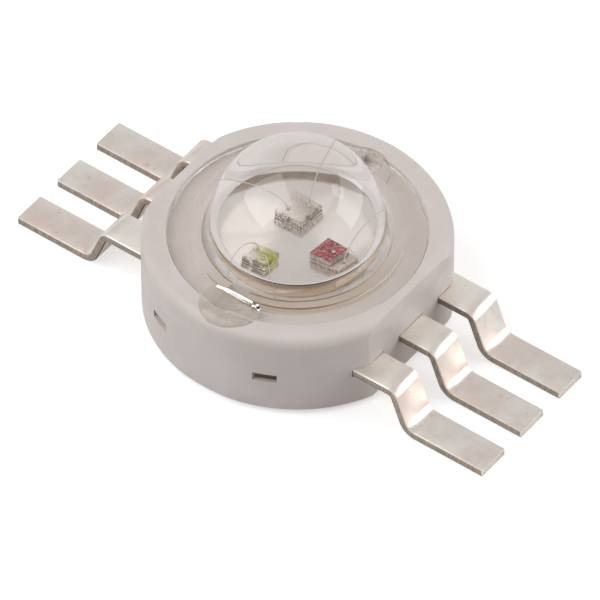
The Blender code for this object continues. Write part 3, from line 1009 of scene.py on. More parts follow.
@dataclass(frozen=True)
class HighlightStrip:
    """Silvery mirror strip on the edge of the spilt silicone that catches a lamp as a painted highlight
    streak, broken into streaks along X and speckled towards +X.
    """

    name: str = "painted_highlight_strip"
    bright: Colour = (0.86, 0.84, 0.81)
    grey: Colour = (0.30, 0.27, 0.25)
    dark: Colour = (0.015, 0.013, 0.012)
    streak_size: float = 0.085 * MM
    streak_stretch: Place = (0.14, 1.0, 1.0)
    streak_height: float = 0.004 * MM
    see_through_below: float = 0.42
    see_through_fade: float = 0.05
    speck_size: float = 0.07 * MM
    speck_start: float = 0.46
    speck_fade: float = 0.04
    speckled_from: float = 0.22 * MM
    speckled_fade: float = 0.12 * MM
    roughness: Span = (0.10, 0.25)

    def material(self) -> bpy.types.Material:
        """Makes the material.

        Returns:
            The material.
        """
        graph = NodeGraph(self.name)
        # Bright silver streaks that catch a lamp: the painted highlight.
        streaks = graph.noise(self.streak_size, 3.0, self.streak_stretch)
        silver = graph.ramp(streaks, [(0.46, self.grey), (0.54, self.bright)])
        specks = graph.rising(graph.noise(self.speck_size, 2.0), self.speck_start, self.speck_fade)
        near_end = graph.rising(graph.axis("X"), self.speckled_from, self.speckled_fade)
        graph.colour(graph.blend(graph.product(specks, near_end), silver, self.dark))
        graph.roughness(graph.uneven(streaks, *self.roughness))
        graph.bump(streaks, self.streak_height, 0.8)
        graph.metal(1.0)
        graph.show_through(graph.falling(streaks, self.see_through_below, self.see_through_fade))
        return graph.material


@dataclass(frozen=True)
class PlainMetal:
    """Small metal piece with a slightly uneven surface."""

    name: str
    bright: Colour
    dull: Colour
    roughness: float
    roughness_spread: float = 0.12
    grain_size: float = 0.06 * MM
    grain_height: float = 0.002 * MM

    def material(self) -> bpy.types.Material:
        """Makes the material.

        Returns:
            The material.
        """
        graph = NodeGraph(self.name)
        grain = graph.noise(self.grain_size)
        graph.colour(graph.ramp(grain, [(0.35, self.dull), (0.65, self.bright)]))
        graph.roughness(graph.uneven(grain, self.roughness, self.roughness + self.roughness_spread))
        graph.bump(grain, self.grain_height, 0.5)
        graph.metal(1.0)
        return graph.material


@dataclass(frozen=True)
class StudioFloor:
    """Pale matt floor that shows white and keeps the object's shadow."""

    name: str = "studio_floor"
    pale: Colour = (0.80, 0.80, 0.80)
    palest: Colour = (0.81, 0.81, 0.81)
    cloud_size: float = 40 * MM
    matt: float = 0.9
    glow: float = 0.55
    mirrored_glow: float = 0.17

    def material(self) -> bpy.types.Material:
        """Makes the material.

        Returns:
            The material.
        """
        graph = NodeGraph(self.name)
        graph.colour(graph.ramp(graph.noise(self.cloud_size, 2.0), [(0.3, self.pale), (0.7, self.palest)]))
        graph.roughness(self.matt)
        graph.uniform(specular_ior_level=0.0, emission_color=WHITE)
        rays = graph.add("ShaderNodeLightPath").outputs
        seen = graph.product(rays["Is Camera Ray"], self.glow)
        turned_away = graph.maths("MAXIMUM", rays["Is Glossy Ray"], rays["Is Transmission Ray"])
        mirrored = graph.product(turned_away, self.mirrored_glow)
        graph.join(graph.maths("MAXIMUM", seen, mirrored), graph.shader.inputs["Emission Strength"])
        return graph.material


def dress(piece: bpy.types.Object, *finishes: bpy.types.Material) -> None:
    """Gives a piece its materials, in the order of its faces' numbers."""
    for finish in finishes:
        piece.data.materials.append(finish)


def hand_in(piece: bpy.types.Object, slot: str, *nodes: str) -> None:
    """Hangs a finished piece under the root body and hides the nodes that it stands for.

    Args:
        piece: The finished piece.
        slot: Not used.
        nodes: Nodes of the frame that it replaces.
    """
    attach(piece, "root")
    if nodes:
        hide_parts(*nodes)
    LOG.info("%s: %d faces", piece.name, len(piece.data.polygons))


@dataclass
class LeadSet:
    """Six formed leads with their bond pads and the stubs of their tie bars."""

    width: float = 0.97 * MM
    thickness: float = 0.23 * MM
    pitch: float = 1.67 * MM
    span: float = 14.85 * MM
    root_length: float = 0.85 * MM
    upper_radius: float = 0.1 * MM
    heel_radius: float = 0.28 * MM
    riser_angle: float = math.radians(69)
    neck_length: float = 1.3 * MM
    pad_reach: float = 0.5 * MM
    tie_width: float = 0.55 * MM
    tie_offset: float = 1.66 * MM
    tie_recess: float = 0.09 * MM
    edge_radius: float = 0.03 * MM
    bend_steps: int = 14
    side_tilt: float = 0.96
    shade_edge_tilt: float = 0.30
    under_tilt: float = -0.05
    fit_gap: float = 0.002 * MM
    blank_reach: float = 4 * MM
    plan_span: Span = (-1 * MM, 3 * MM)
    well_tool_top: float = 2 * MM

    def side_outline(self, inner_end: float) -> Profile:
        """Side outline of a lead from its bond pad to its tip.

        Args:
            inner_end: Where the outline starts along X.

        Returns:
            Points in X and Z.
        """
        angle = self.riser_angle
        outer_upper = self.upper_radius + self.thickness
        outer_heel = self.heel_radius + self.thickness
        root_end = DATUM.flat_reach + self.root_length
        upper = (root_end, DATUM.lead_low - self.upper_radius)
        drop = upper[1] - outer_heel + (self.upper_radius + outer_heel) * math.cos(angle)
        run = (self.upper_radius + outer_heel) * math.sin(angle)
        heel = (root_end + run + drop / math.tan(angle), outer_heel)
        below = 3 * QUARTER
        top = [(inner_end, DATUM.lead_top)]
        top += arc(upper, outer_upper, QUARTER, QUARTER - angle, self.bend_steps)
        top += arc(heel, self.heel_radius, below - angle, below, 3)
        top += [(self.span / 2, self.thickness)]
        under = [(self.span / 2, 0.0)]
        under += arc(heel, outer_heel, below, below - angle, self.bend_steps)
        under += arc(upper, self.upper_radius, QUARTER - angle, QUARTER, self.bend_steps)
        return top + under + [(inner_end, DATUM.lead_low)]

    def plan_outline(self, row: Row, gap: float, reach: float, tie_reach: float) -> Profile:
        """Plan outline of a lead on the +X side.

        Args:
            row: Which lead.
            gap: How far the outline is grown.
            reach: Where it ends along X.
            tie_reach: Radius that the tie bar ends at.

        Returns:
            Points in X and Y.
        """
        half = self.width / 2 + gap
        edge = DATUM.pad_edge - gap
        if row is Row.MIDDLE:
            return [(edge, -half), (reach, -half), (reach, half), (edge, half)]
        inner = self.pad_reach - gap
        near, far = self.pitch - half, self.pitch + half
        shoulder = DATUM.flat_reach - self.neck_length - gap
        low = self.tie_offset - self.tie_width / 2 - gap
        high = self.tie_offset + self.tie_width / 2 + gap
        outline = [(inner, edge), (shoulder, edge), (shoulder, near), (reach, near)]
        outline += [(reach, far), (high, far), (high, math.sqrt(tie_reach**2 - high**2))]
        outline += [(low, math.sqrt(tie_reach**2 - low**2)), (low, far), (inner, far)]
        return [(x, row.value * y) for x, y in outline]

    def lead(self, name: str, side: Side, row: Row) -> bpy.types.Object:
        """Makes one lead, with numbers on its faces for its finishes.

        Args:
            name: Name of the piece.
            side: Side that it leaves by.
            row: Its row on the +X side before it is turned to its own side.

        Returns:
            The lead.
        """
        inner = DATUM.pad_edge if row is Row.MIDDLE else self.pad_reach
        piece = prism(name, self.side_outline(inner - MM), -self.blank_reach, self.blank_reach, across=True)
        outline = self.plan_outline(row, 0.0, self.span, DATUM.housing_radius - self.tie_recess)
        combine(piece, prism("plan", outline, *self.plan_span), Carving.TRIM)
        round_edges(piece, self.edge_radius, 60.0, 2)
        for face in piece.data.polygons:
            face.material_index = self.finish_of(face).value
        if side is Side.LEFT:
            piece.data.transform(Matrix.Rotation(math.pi, 4, "Z"))
        smooth(piece)
        return piece

    def finish_of(self, face: bpy.types.MeshPolygon) -> LeadFinish:
        """Finish of a face of a lead.

        Args:
            face: The face, before the lead is turned to its side.

        Returns:
            The finish, the dark one too on the end of a cut tie bar, which is bare cut metal in painted
            shade, and on the lower rounded edges, where it is a painted shade line.
        """
        radius = math.hypot(face.center.x, face.center.y)
        if radius > DATUM.flat_reach and face.center.x < self.tie_offset + self.tie_width:
            return LeadFinish.BURR_AND_SHADE
        if abs(face.normal.y) > self.side_tilt:
            return LeadFinish.SHEARED
        # Lower rounded edges: a painted shade line under the lead.
        if abs(face.normal.y) > self.shade_edge_tilt and face.normal.z < self.under_tilt:
            return LeadFinish.BURR_AND_SHADE
        return LeadFinish.PLATED

    def build(self) -> None:
        plating, sheared = Plating().material(), ShearedEdge().material()
        # Dark metal for cut tie bar ends and for the painted shade on the lower edges.
        burr_and_shade = PlainMetal("lead_burr_and_shade", (0.20, 0.15, 0.12), (0.12, 0.09, 0.07), 0.45).material()
        for side in Side:
            for row in Row:
                name = f"lead_{side.name}_{row.name}".lower()
                piece = self.lead(name + "_formed", side, Row(row.value * side.value))
                dress(piece, plating, sheared, burr_and_shade)
                hand_in(piece, "plated_metal", name)

    def slot_tools(self) -> list[bpy.types.Object]:
        """Solids that cut the leads' slots out of the housing, closer round the pads in the well.

        Returns:
            The solids.
        """
        tools = []
        for side in Side:
            for row in Row:
                for gap in (DATUM.seat_gap, self.fit_gap):
                    outline = self.plan_outline(row, gap, 5 * MM, 5 * MM)
                    low, high = DATUM.lead_low - gap, DATUM.lead_top + gap
                    tool = prism(f"slot_{side.name}_{row.name}", outline, low, high)
                    if gap == DATUM.seat_gap:
                        well = ring((0.0, 0.0), DATUM.well_radius, 240)
                        cut(tool, prism("well", well, 0.0, self.well_tool_top))
                    if side is Side.LEFT:
                        tool.data.transform(Matrix.Rotation(math.pi, 4, "Z"))
                    tools.append(tool)
        return tools


@dataclass
class HousingShell:
    """Moulded housing with its flats, lens recess, well, ear pockets, lead slots and marks."""

    edge_radius: float = 0.3 * MM
    bottom_chamfer: float = 0.06 * MM
    mouth_radius: float = 0.04 * MM
    notch_width: float = 1.3 * MM
    notch_height: float = 0.4 * MM
    index_width: float = 0.28 * MM
    index_depth: float = 0.16 * MM
    index_azimuth: float = math.radians(127)
    shoulder_radius: float = 2.37 * MM
    shoulder_top: float = 0.87 * MM
    base_radius: float = 2.72 * MM
    base_top: float = 0.47 * MM
    post_hole: float = 1.52 * MM
    clear: float = 0.5 * MM
    steps: int = 240

    def profile(self) -> Profile:
        """Section of the housing before anything is cut.

        Returns:
            Points of radius and height.
        """
        radius, low, top = DATUM.housing_radius, DATUM.housing_low, DATUM.housing_top
        edge = (radius - self.edge_radius, top - self.edge_radius)
        lip = self.mouth_radius
        mouth = (DATUM.recess_radius + lip, top - lip)
        seat = (DATUM.well_radius + lip, DATUM.recess_floor - lip)
        chamfer = self.bottom_chamfer
        points = [(self.base_radius, low), (radius - chamfer, low), (radius, low + chamfer)]
        points += arc(edge, self.edge_radius, 0.0, QUARTER, 10)
        points += arc(mouth, lip, QUARTER, math.pi, 4)
        points += [(DATUM.recess_radius, DATUM.recess_floor)]
        points += arc(seat, lip, QUARTER, math.pi, 4)
        points += [(DATUM.well_radius, DATUM.lead_top), (self.post_hole, DATUM.lead_top)]
        points += [(self.post_hole, self.shoulder_top), (self.shoulder_radius, self.shoulder_top)]
        return points + [(self.shoulder_radius, self.base_top), (self.base_radius, self.base_top)]

    def cut_lens_seat(self, piece: bpy.types.Object) -> None:
        """Cuts the ear pockets and the runners.

        Args:
            piece: The housing.
        """
        high = DATUM.housing_top + self.clear
        width = DATUM.runner_width + 2 * DATUM.seat_gap
        for side in (-1, 1):
            outline = ring((0.0, side * DATUM.ear_offset), DATUM.ear_radius + DATUM.seat_gap, 72)
            cut(piece, prism("ear_pocket", outline, DATUM.recess_floor + DATUM.seat_gap, high))
            start = DATUM.well_radius - DATUM.runner_width
            end = DATUM.port_offset + DATUM.port_radius + DATUM.seat_gap
            plan = rectangle((0.0, side * (start + end) / 2), width, end - start)
            low = DATUM.recess_floor - DATUM.runner_depth - DATUM.seat_gap
            cut(piece, prism("runner", plan, low, DATUM.recess_floor + 2 * DATUM.seat_gap))

    def cut_outside(self, piece: bpy.types.Object, leads: LeadSet) -> None:
        """Cuts the flats, the lead slots, the bottom notch and the index mark.

        Args:
            piece: The housing.
            leads: The leads, whose slots are cut.
        """
        radius, high = DATUM.housing_radius, DATUM.housing_top + self.clear
        width = radius - DATUM.flat_reach + self.clear
        for side in (-1, 1):
            middle = (side * (DATUM.flat_reach + width / 2), 0.0)
            cut(piece, prism("flat", rectangle(middle, width, 2 * radius), -self.clear, high))
        for tool in leads.slot_tools():
            cut(piece, tool)
        depth = radius - math.sqrt(radius**2 - (self.notch_width / 2) ** 2)
        notch = rectangle((0.0, depth - radius - self.clear), self.notch_width + self.clear, 2 * self.clear)
        cut(piece, prism("notch", notch, -self.clear, DATUM.housing_low + self.notch_height))
        mark = rectangle((radius, 0.0), 2 * self.index_depth, self.index_width)
        cut(piece, prism("index", mark, DATUM.housing_top - self.index_depth, high), self.index_azimuth)

    def build(self, leads: LeadSet) -> None:
        """Args:
            leads: The leads, whose slots are cut.
        """
        piece = turned("housing_shell", self.profile(), self.steps)
        self.cut_lens_seat(piece)
        self.cut_outside(piece, leads)
        smooth(piece)
        dress(piece, MouldedPlastic().material())
        hand_in(piece, "housing_plastic", "housing")


@dataclass
class HeatSlug:
    """Stepped slug with the shallow cup that holds the chips."""

    base_radius: float = 2.7 * MM
    base_height: float = 0.45 * MM
    shoulder_radius: float = 2.35 * MM
    shoulder_height: float = 0.4 * MM
    chamfer: float = 0.06 * MM
    rim_round: float = 0.02 * MM
    steps: int = 200

    def profile(self) -> Profile:
        """Section of the slug.

        Returns:
            Points of radius and height.
        """
        top, floor = DATUM.recess_floor, DATUM.cup_floor
        post, cup = DATUM.post_radius, DATUM.post_radius - DATUM.cup_rim
        step = self.base_height + self.shoulder_height
        outer = arc((post - self.rim_round, top - self.rim_round), self.rim_round, 0.0, QUARTER, 4)
        points = [(0.0, 0.0), (self.base_radius - self.chamfer, 0.0), (self.base_radius, self.chamfer)]
        points += [(self.base_radius, self.base_height), (self.shoulder_radius, self.base_height)]
        points += [(self.shoulder_radius, step), (post, step)] + outer
        return points + [(cup, top), (cup - DATUM.cup_depth, floor), (0.0, floor)]

    def build(self) -> None:
        piece = turned("slug_turned", self.profile(), self.steps)
        smooth(piece)
        dress(piece, CupPlating().material())
        hand_in(piece, "slug_metal", "heat_slug")


@dataclass
class LensOptic:
    """Dome lens with the silicone under it as one clear body, and the silicone spilt beside it."""

    flange_thickness: float = 0.24 * MM
    flange_chamfer: float = 0.03 * MM
    flange_round: float = 0.04 * MM
    ledge_width: float = 0.53 * MM
    skirt_step: float = 0.08 * MM
    skirt_flare: float = 0.57 * MM
    dome_rise: float = 0.42 * MM
    touch: float = 0.004 * MM
    ear_round: float = 0.025 * MM
    dimple_depth: float = 0.03 * MM
    runner_overlap: float = 0.1 * MM
    spill_radius: float = 0.80 * MM
    spill_offset: float = 3.15 * MM
    spill_azimuth: float = math.radians(-86)
    spill_height: float = 0.10 * MM
    spill_step: float = 0.09 * MM
    spill_sink: float = 0.02 * MM
    spill_slope: float = 0.5 * MM
    spill_rings: int = 18
    spill_sides: int = 96
    spill_limit: float = 3.985 * MM
    spill_back: float = -2.90 * MM
    highlight_length: float = 1.38 * MM
    highlight_width: float = 0.19 * MM
    highlight_half_thickness: float = 0.004 * MM
    highlight_middle: Spot = (0.28 * MM, -2.87 * MM)
    highlight_rise: float = 0.05 * MM
    highlight_tilt: float = math.radians(33)
    steps: int = 240

    def profile(self) -> Profile:
        """Section of the lens and the fill, the fill touching the metal that it wets.

        Returns:
            Points of radius and height.
        """
        flange_low = DATUM.recess_floor + DATUM.seat_gap
        flange_top = flange_low + self.flange_thickness
        flange = DATUM.recess_radius - DATUM.seat_gap
        skirt = flange - self.ledge_width
        dome = skirt - self.skirt_flare
        centre = flange_top + self.dome_rise
        flare_height = centre - flange_top - self.skirt_step
        cup = DATUM.post_radius - DATUM.cup_rim
        well, post = DATUM.well_radius + self.touch, DATUM.post_radius - self.touch
        wetted = (DATUM.cup_floor, DATUM.recess_floor, DATUM.lead_top)
        floor, seat, pads = (level - self.touch for level in wetted)
        chamfer, corner = self.flange_chamfer, self.flange_round
        points = [(0.0, floor), (cup - DATUM.cup_depth, floor), (cup, seat), (post, seat)]
        points += [(post, pads), (well, pads), (well, flange_low)]
        points += [(flange - chamfer, flange_low), (flange, flange_low + chamfer)]
        points += arc((flange - corner, flange_top - corner), corner, 0.0, QUARTER, 5)
        points += [(skirt, flange_top)]
        flare = arc((0.0, 0.0), 1.0, 3 * QUARTER, math.pi, 16)
        points += [(skirt + x * self.skirt_flare, centre + z * flare_height) for x, z in flare]
        points += arc((0.0, centre), dome, 0.0, QUARTER, 48)[1:-1]
        return points + [(0.0, centre + dome)]

    def bed(self, radius: float, slope: float = 0.0) -> float:
        """Level under the spilt silicone at a radius: inside the ear, then the rim and its round edge.

        Args:
            radius: Distance from the lens's axis.
            slope: Width over which the step between the two is evened out.

        Returns:
            The level.
        """
        edge, low = DATUM.recess_radius + self.spill_step, DATUM.ear_top - self.spill_sink
        high = DATUM.housing_top + self.touch
        if radius < edge:
            share = max(0.0, 1.0 - (edge - radius) / slope) if slope else 0.0
            return low + (high - low) * share * share * (3.0 - 2.0 * share)
        rim = HousingShell.edge_radius
        start = DATUM.housing_radius - rim
        drop = rim - math.sqrt(max(rim**2 - max(radius - start, 0.0) ** 2, 0.0))
        return high - drop

    def spill_spot(self, turn: float, share: float, top: bool) -> Vector:
        """Point on the top or the underside of the spilt silicone.

        Args:
            turn: Direction of the point from the middle of the drop.
            share: How far out it lies, from 0 to 1.
            top: Whether it is on the top.

        Returns:
            The point.
        """
        middle = Vector((math.cos(self.spill_azimuth), math.sin(self.spill_azimuth), 0.0)) * self.spill_offset
        wave = 1.0 + 0.05 * math.cos(2 * turn + 0.6) + 0.03 * math.cos(3 * turn)
        spot = middle + Vector((math.cos(turn), math.sin(turn), 0.0)) * (self.spill_radius * wave * share)
        spot.y = min(spot.y, self.spill_back)
        radius = math.hypot(spot.x, spot.y)
        if radius > self.spill_limit:
            spot *= self.spill_limit / radius
            radius = self.spill_limit
        if top:
            spot.z = self.bed(radius, self.spill_slope) + self.spill_height * math.sqrt(1.0 - share**4)
        else:
            spot.z = self.bed(radius)
        return spot

    def spill(self) -> bpy.types.Object:
        """Flat drop of silicone on the ear and over the rim at -Y.

        Returns:
            The drop.
        """
        around = self.spill_sides
        turns = [math.tau * index / around for index in range(around)]
        shares = [step / self.spill_rings for step in range(self.spill_rings + 1)]
        bm = bmesh.new()
        layers: dict[bool, list[list[bmesh.types.BMVert]]] = {False: [], True: []}
        for share in shares:
            for top, rows in layers.items():
                rows.append([bm.verts.new(self.spill_spot(turn, share, top)) for turn in turns])
        for rows in layers.values():
            for inner, outer in zip(rows, rows[1:]):
                for index in range(around):
                    after = (index + 1) % around
                    bm.faces.new((inner[index], inner[after], outer[after], outer[index]))
        bmesh.ops.remove_doubles(bm, verts=bm.verts, dist=0.0005 * MM)
        return solid("spilt_silicone_drop", bm)

    def painted_highlight_strip(self) -> bpy.types.Object:
        """Thin silvery strip along the inner edge of the spilt silicone, tilted like that edge so that it
        catches a lamp as a painted highlight.

        Returns:
            The strip.
        """
        half = self.highlight_length / 2
        outline = [(-half, 0.5), (-half * 0.6, 0.9), (half * 0.8, 1.0), (half, 0.3)]
        outline += [(half, -0.4), (half * 0.7, -1.0), (-half * 0.5, -0.6), (-half, -0.1)]
        plan = [(x, y * self.highlight_width / 2) for x, y in outline]
        highlight_sheet = prism("spill_painted_highlight_strip", plan[::-1], -self.highlight_half_thickness, self.highlight_half_thickness)
        highlight_sheet.data.transform(Matrix.Rotation(self.highlight_tilt, 4, "X"))
        highlight_sheet.location = (*self.highlight_middle, DATUM.ear_top + self.highlight_rise)
        return highlight_sheet

    def runner_fill(self, side: int) -> bpy.types.Object:
        """Silicone that fills the runner at one side.

        Args:
            side: 1 for the runner at +Y, -1 for the one at -Y.

        Returns:
            The filling.
        """
        start = DATUM.well_radius - self.runner_overlap
        end = DATUM.port_offset + DATUM.port_radius + DATUM.seat_gap + self.touch
        width = DATUM.runner_width + 2 * (DATUM.seat_gap + self.touch)
        plan = rectangle((0.0, side * (start + end) / 2), width, end - start)
        low = DATUM.recess_floor - DATUM.runner_depth - DATUM.seat_gap - self.touch
        return prism("runner_fill", plan, low, DATUM.recess_floor + 3 * DATUM.seat_gap)

    def build(self) -> None:
        piece = turned("lens_and_fill", self.profile(), self.steps)
        low, top = DATUM.recess_floor + 2 * DATUM.seat_gap, DATUM.ear_top
        for side in (-1, 1):
            ear = prism("ear", ring((0.0, side * DATUM.ear_offset), DATUM.ear_radius, 96), low, top)
            round_edges(ear, self.ear_round)
            combine(piece, ear, Carving.JOIN)
            combine(piece, self.runner_fill(side), Carving.JOIN)
        dimple = ring((0.0, DATUM.port_offset), DATUM.port_radius, 48)
        combine(piece, prism("port", dimple, top - self.dimple_depth, top + MM), Carving.CUT)
        smooth(piece)
        dress(piece, ClearPolymer().material())
        hand_in(piece, "lens_clear", "lens", "gel_fill")
        drop = self.spill()
        smooth(drop)
        dress(drop, FrostedSilicone().material())
        hand_in(drop, "gel_clear")
        # Silvery strip that gives the painted highlight streak on the spill's edge.
        highlight_sheet = self.painted_highlight_strip()
        dress(highlight_sheet, HighlightStrip().material())
        hand_in(highlight_sheet, "gel_clear")


@dataclass
class DieStack:
    """Three chips on their solder, the red one on a silvery submount."""

    height: float = 0.10 * MM
    edge_round: float = 0.006 * MM
    solder_thickness: float = 0.02 * MM
    solder_margin: float = 0.003 * MM
    solder_round: float = 0.01 * MM
    submount_size: float = 0.47 * MM
    submount_ledge: float = 0.20 * MM
    submount_height: float = 0.03 * MM
    top_tilt: float = 0.5
    places: dict[ChipColour, Spot] = field(
        default_factory=lambda: {
            ChipColour.RED: (0.54 * MM, math.radians(18)),
            ChipColour.GREEN: (0.65 * MM, math.radians(238)),
            ChipColour.BLUE: (0.77 * MM, math.radians(126)),
        }
    )

    def centre(self, colour: ChipColour) -> Spot:
        """Middle of a chip in plan."""
        radius, azimuth = self.places[colour]
        return radius * math.cos(azimuth), radius * math.sin(azimuth)

    def levels(self, colour: ChipColour) -> dict[str, Span]:
        """Levels of the layers under a chip and of the chip.

        Args:
            colour: Which chip.

        Returns:
            Lowest and highest level of each layer, by its name.
        """
        layers = {"solder": self.solder_thickness, "submount": self.submount_height, "chip": self.height}
        if colour is not ChipColour.RED:
            del layers["submount"]
        found, level = {}, DATUM.cup_floor
        for layer, thickness in layers.items():
            low = level + DATUM.bond_gap
            level = low + thickness
            found[layer] = (low, level)
        return found

    def block(self, name: str, at: Spot, sizes: Spot, span: Span, edge: float) -> bpy.types.Object:
        """Block with its origin at its own middle.

        Args:
            name: Name of the piece.
            at: Middle in plan.
            sizes: Its sides along X and Y.
            span: Its lowest and highest level.
            edge: Round of its edges.

        Returns:
            The block.
        """
        middle = (span[0] + span[1]) / 2
        piece = prism(name, rectangle((0.0, 0.0), *sizes), span[0] - middle, span[1] - middle)
        round_edges(piece, edge, 50.0, 2)
        smooth(piece)
        piece.location = (*at, middle)
        return piece

    def chip_finish(self, colour: ChipColour) -> bpy.types.Material:
        """Finish of a chip.

        Args:
            colour: Which chip.

        Returns:
            The material.
        """
        faces = {
            ChipColour.RED: RedChipFace(),
            ChipColour.GREEN: SapphireFace("chip_green", (0.70, 0.72, 0.34), speck_size=0.30 * MM),
            ChipColour.BLUE: SapphireFace("chip_blue", (0.78, 0.76, 0.72)),
        }
        return faces[colour].material()

    def build(self) -> None:
        silver = PlainMetal("submount_silver", (0.74, 0.65, 0.57), (0.56, 0.48, 0.41), 0.34).material()
        sawn = PlainMetal("chip_side", (0.72, 0.66, 0.63), (0.38, 0.33, 0.31), 0.26).material()
        solder = PlainMetal("solder_grey", (0.90, 0.82, 0.785), (0.84, 0.76, 0.725), 0.20).material()
        for colour in ChipColour:
            middle = self.centre(colour)
            spans = self.levels(colour)
            shifted = middle
            square = (DATUM.chip_size, DATUM.chip_size)
            foot = square
            if colour is ChipColour.RED:
                shifted = (middle[0] + self.submount_ledge / 2, middle[1])
                foot = (self.submount_size + self.submount_ledge, self.submount_size)
                mount = self.block("submount_red_block", shifted, foot, spans["submount"], self.edge_round)
                dress(mount, silver)
                hand_in(mount, "submount_silver", "submount_red")
            pad = (foot[0] + 2 * self.solder_margin, foot[1] + 2 * self.solder_margin)
            name = f"solder_{colour.value}"
            layer = self.block(name + "_layer", shifted, pad, spans["solder"], self.solder_round)
            dress(layer, solder)
            hand_in(layer, "solder_grey", name)
            chip = self.block(f"chip_{colour.value}_die", middle, square, spans["chip"], self.edge_round)
            for face in chip.data.polygons:
                face.material_index = int(colour is ChipColour.RED and face.normal.z < self.top_tilt)
            dress(chip, self.chip_finish(colour), sawn)
            hand_in(chip, f"chip_{colour.value}", f"chip_{colour.value}")


@dataclass
class BondWires:
    """Six gold wires, each with a ball bond on its chip."""

    radius: float = 0.0085 * MM
    loop: float = 0.35 * MM
    overhang: float = 0.9 * MM
    azimuth: float = math.radians(70)
    ball_radius: float = 0.035 * MM
    ball_neck: float = 0.05 * MM
    bond_offset: float = 0.1 * MM
    steps: int = 28

    def chip_bond(self, dies: DieStack, colour: ChipColour, x_step: int, y_step: int) -> Vector:
        """Bond point on a chip.

        Args:
            dies: The chips.
            colour: Which chip.
            x_step: Bond offsets from its middle along X.
            y_step: Bond offsets from its middle along Y.

        Returns:
            The point.
        """
        x, y = dies.centre(colour)
        level = dies.levels(colour)["chip"][1] + DATUM.bond_gap
        return Vector((x + x_step * self.bond_offset, y + y_step * self.bond_offset, level))

    def lead_bond(self, azimuth: float) -> Vector:
        """Bond point on the ring of lead pads."""
        radius, level = (DATUM.pad_edge + DATUM.well_radius) / 2, DATUM.lead_top + DATUM.bond_gap
        return Vector((radius * math.cos(azimuth), radius * math.sin(azimuth), level))

    def routes(self, dies: DieStack) -> dict[str, tuple[Vector, Vector]]:
        """Routes of the wires.

        Args:
            dies: The chips.

        Returns:
            Start and end of each wire, by its node's name.
        """
        x, y = dies.centre(ChipColour.RED)
        ledge = dies.levels(ChipColour.RED)["submount"][1] + DATUM.bond_gap
        ledge_bond = Vector((x + (dies.submount_size + dies.submount_ledge) / 2, y, ledge))
        red, green, blue = ChipColour.RED, ChipColour.GREEN, ChipColour.BLUE
        return {
            "wire_red_top": (self.chip_bond(dies, red, 1, 0), self.lead_bond(0.0)),
            "wire_red_base": (ledge_bond, self.lead_bond(self.azimuth)),
            "wire_green_front": (self.chip_bond(dies, green, 1, -1), self.lead_bond(-self.azimuth)),
            "wire_green_side": (self.chip_bond(dies, green, -1, 1), self.lead_bond(self.azimuth - math.pi)),
            "wire_blue_side": (self.chip_bond(dies, blue, -1, -1), self.lead_bond(math.pi)),
            "wire_blue_back": (self.chip_bond(dies, blue, 1, 1), self.lead_bond(math.pi - self.azimuth)),
        }

    def wire(self, name: str, start: Vector, end: Vector) -> bpy.types.Object:
        """One wire loop with its ball.

        Args:
            name: Name of the piece.
            start: Bond point on the chip.
            end: Bond point on the lead.

        Returns:
            The wire.
        """
        rise = start + Vector((0.0, 0.0, self.loop))
        fall = Vector((end.x, end.y, start.z + self.overhang))
        points = []
        for step in range(self.steps + 1):
            t = step / self.steps
            s = 1.0 - t
            points.append(start * s**3 + rise * 3 * s * s * t + fall * 3 * s * t * t + end * t**3)
        neck = start + Vector((0.0, 0.0, self.ball_neck))
        ball = [start, start.lerp(neck, 0.25), start.lerp(neck, 0.6), neck]
        radii = [self.ball_radius * 0.85, self.ball_radius, self.ball_radius * 0.9, self.radius]
        after = [point for point in points[1:] if (point - start).length > self.ball_neck * 1.1]
        return tube(name, ball + after, radii + [self.radius] * len(after))

    def build(self, dies: DieStack) -> None:
        """Args:
            dies: The chips that they start on.
        """
        gold = PlainMetal("wire_gold", (0.80, 0.73, 0.64), (0.66, 0.60, 0.52), 0.34).material()
        for name, (start, end) in self.routes(dies).items():
            piece = self.wire(name + "_drawn", start, end)
            smooth(piece, 60.0)
            dress(piece, gold)
            hand_in(piece, "wire_gold", name)


@dataclass(frozen=True)
class SoftBox:
    """Soft box that faces the object, its direction in degrees and its sides in metres."""

    name: str
    azimuth: float
    elevation: float
    width: float
    height: float
    glow: float
    mirrored: Mirrored = Mirrored.OUTSIDE


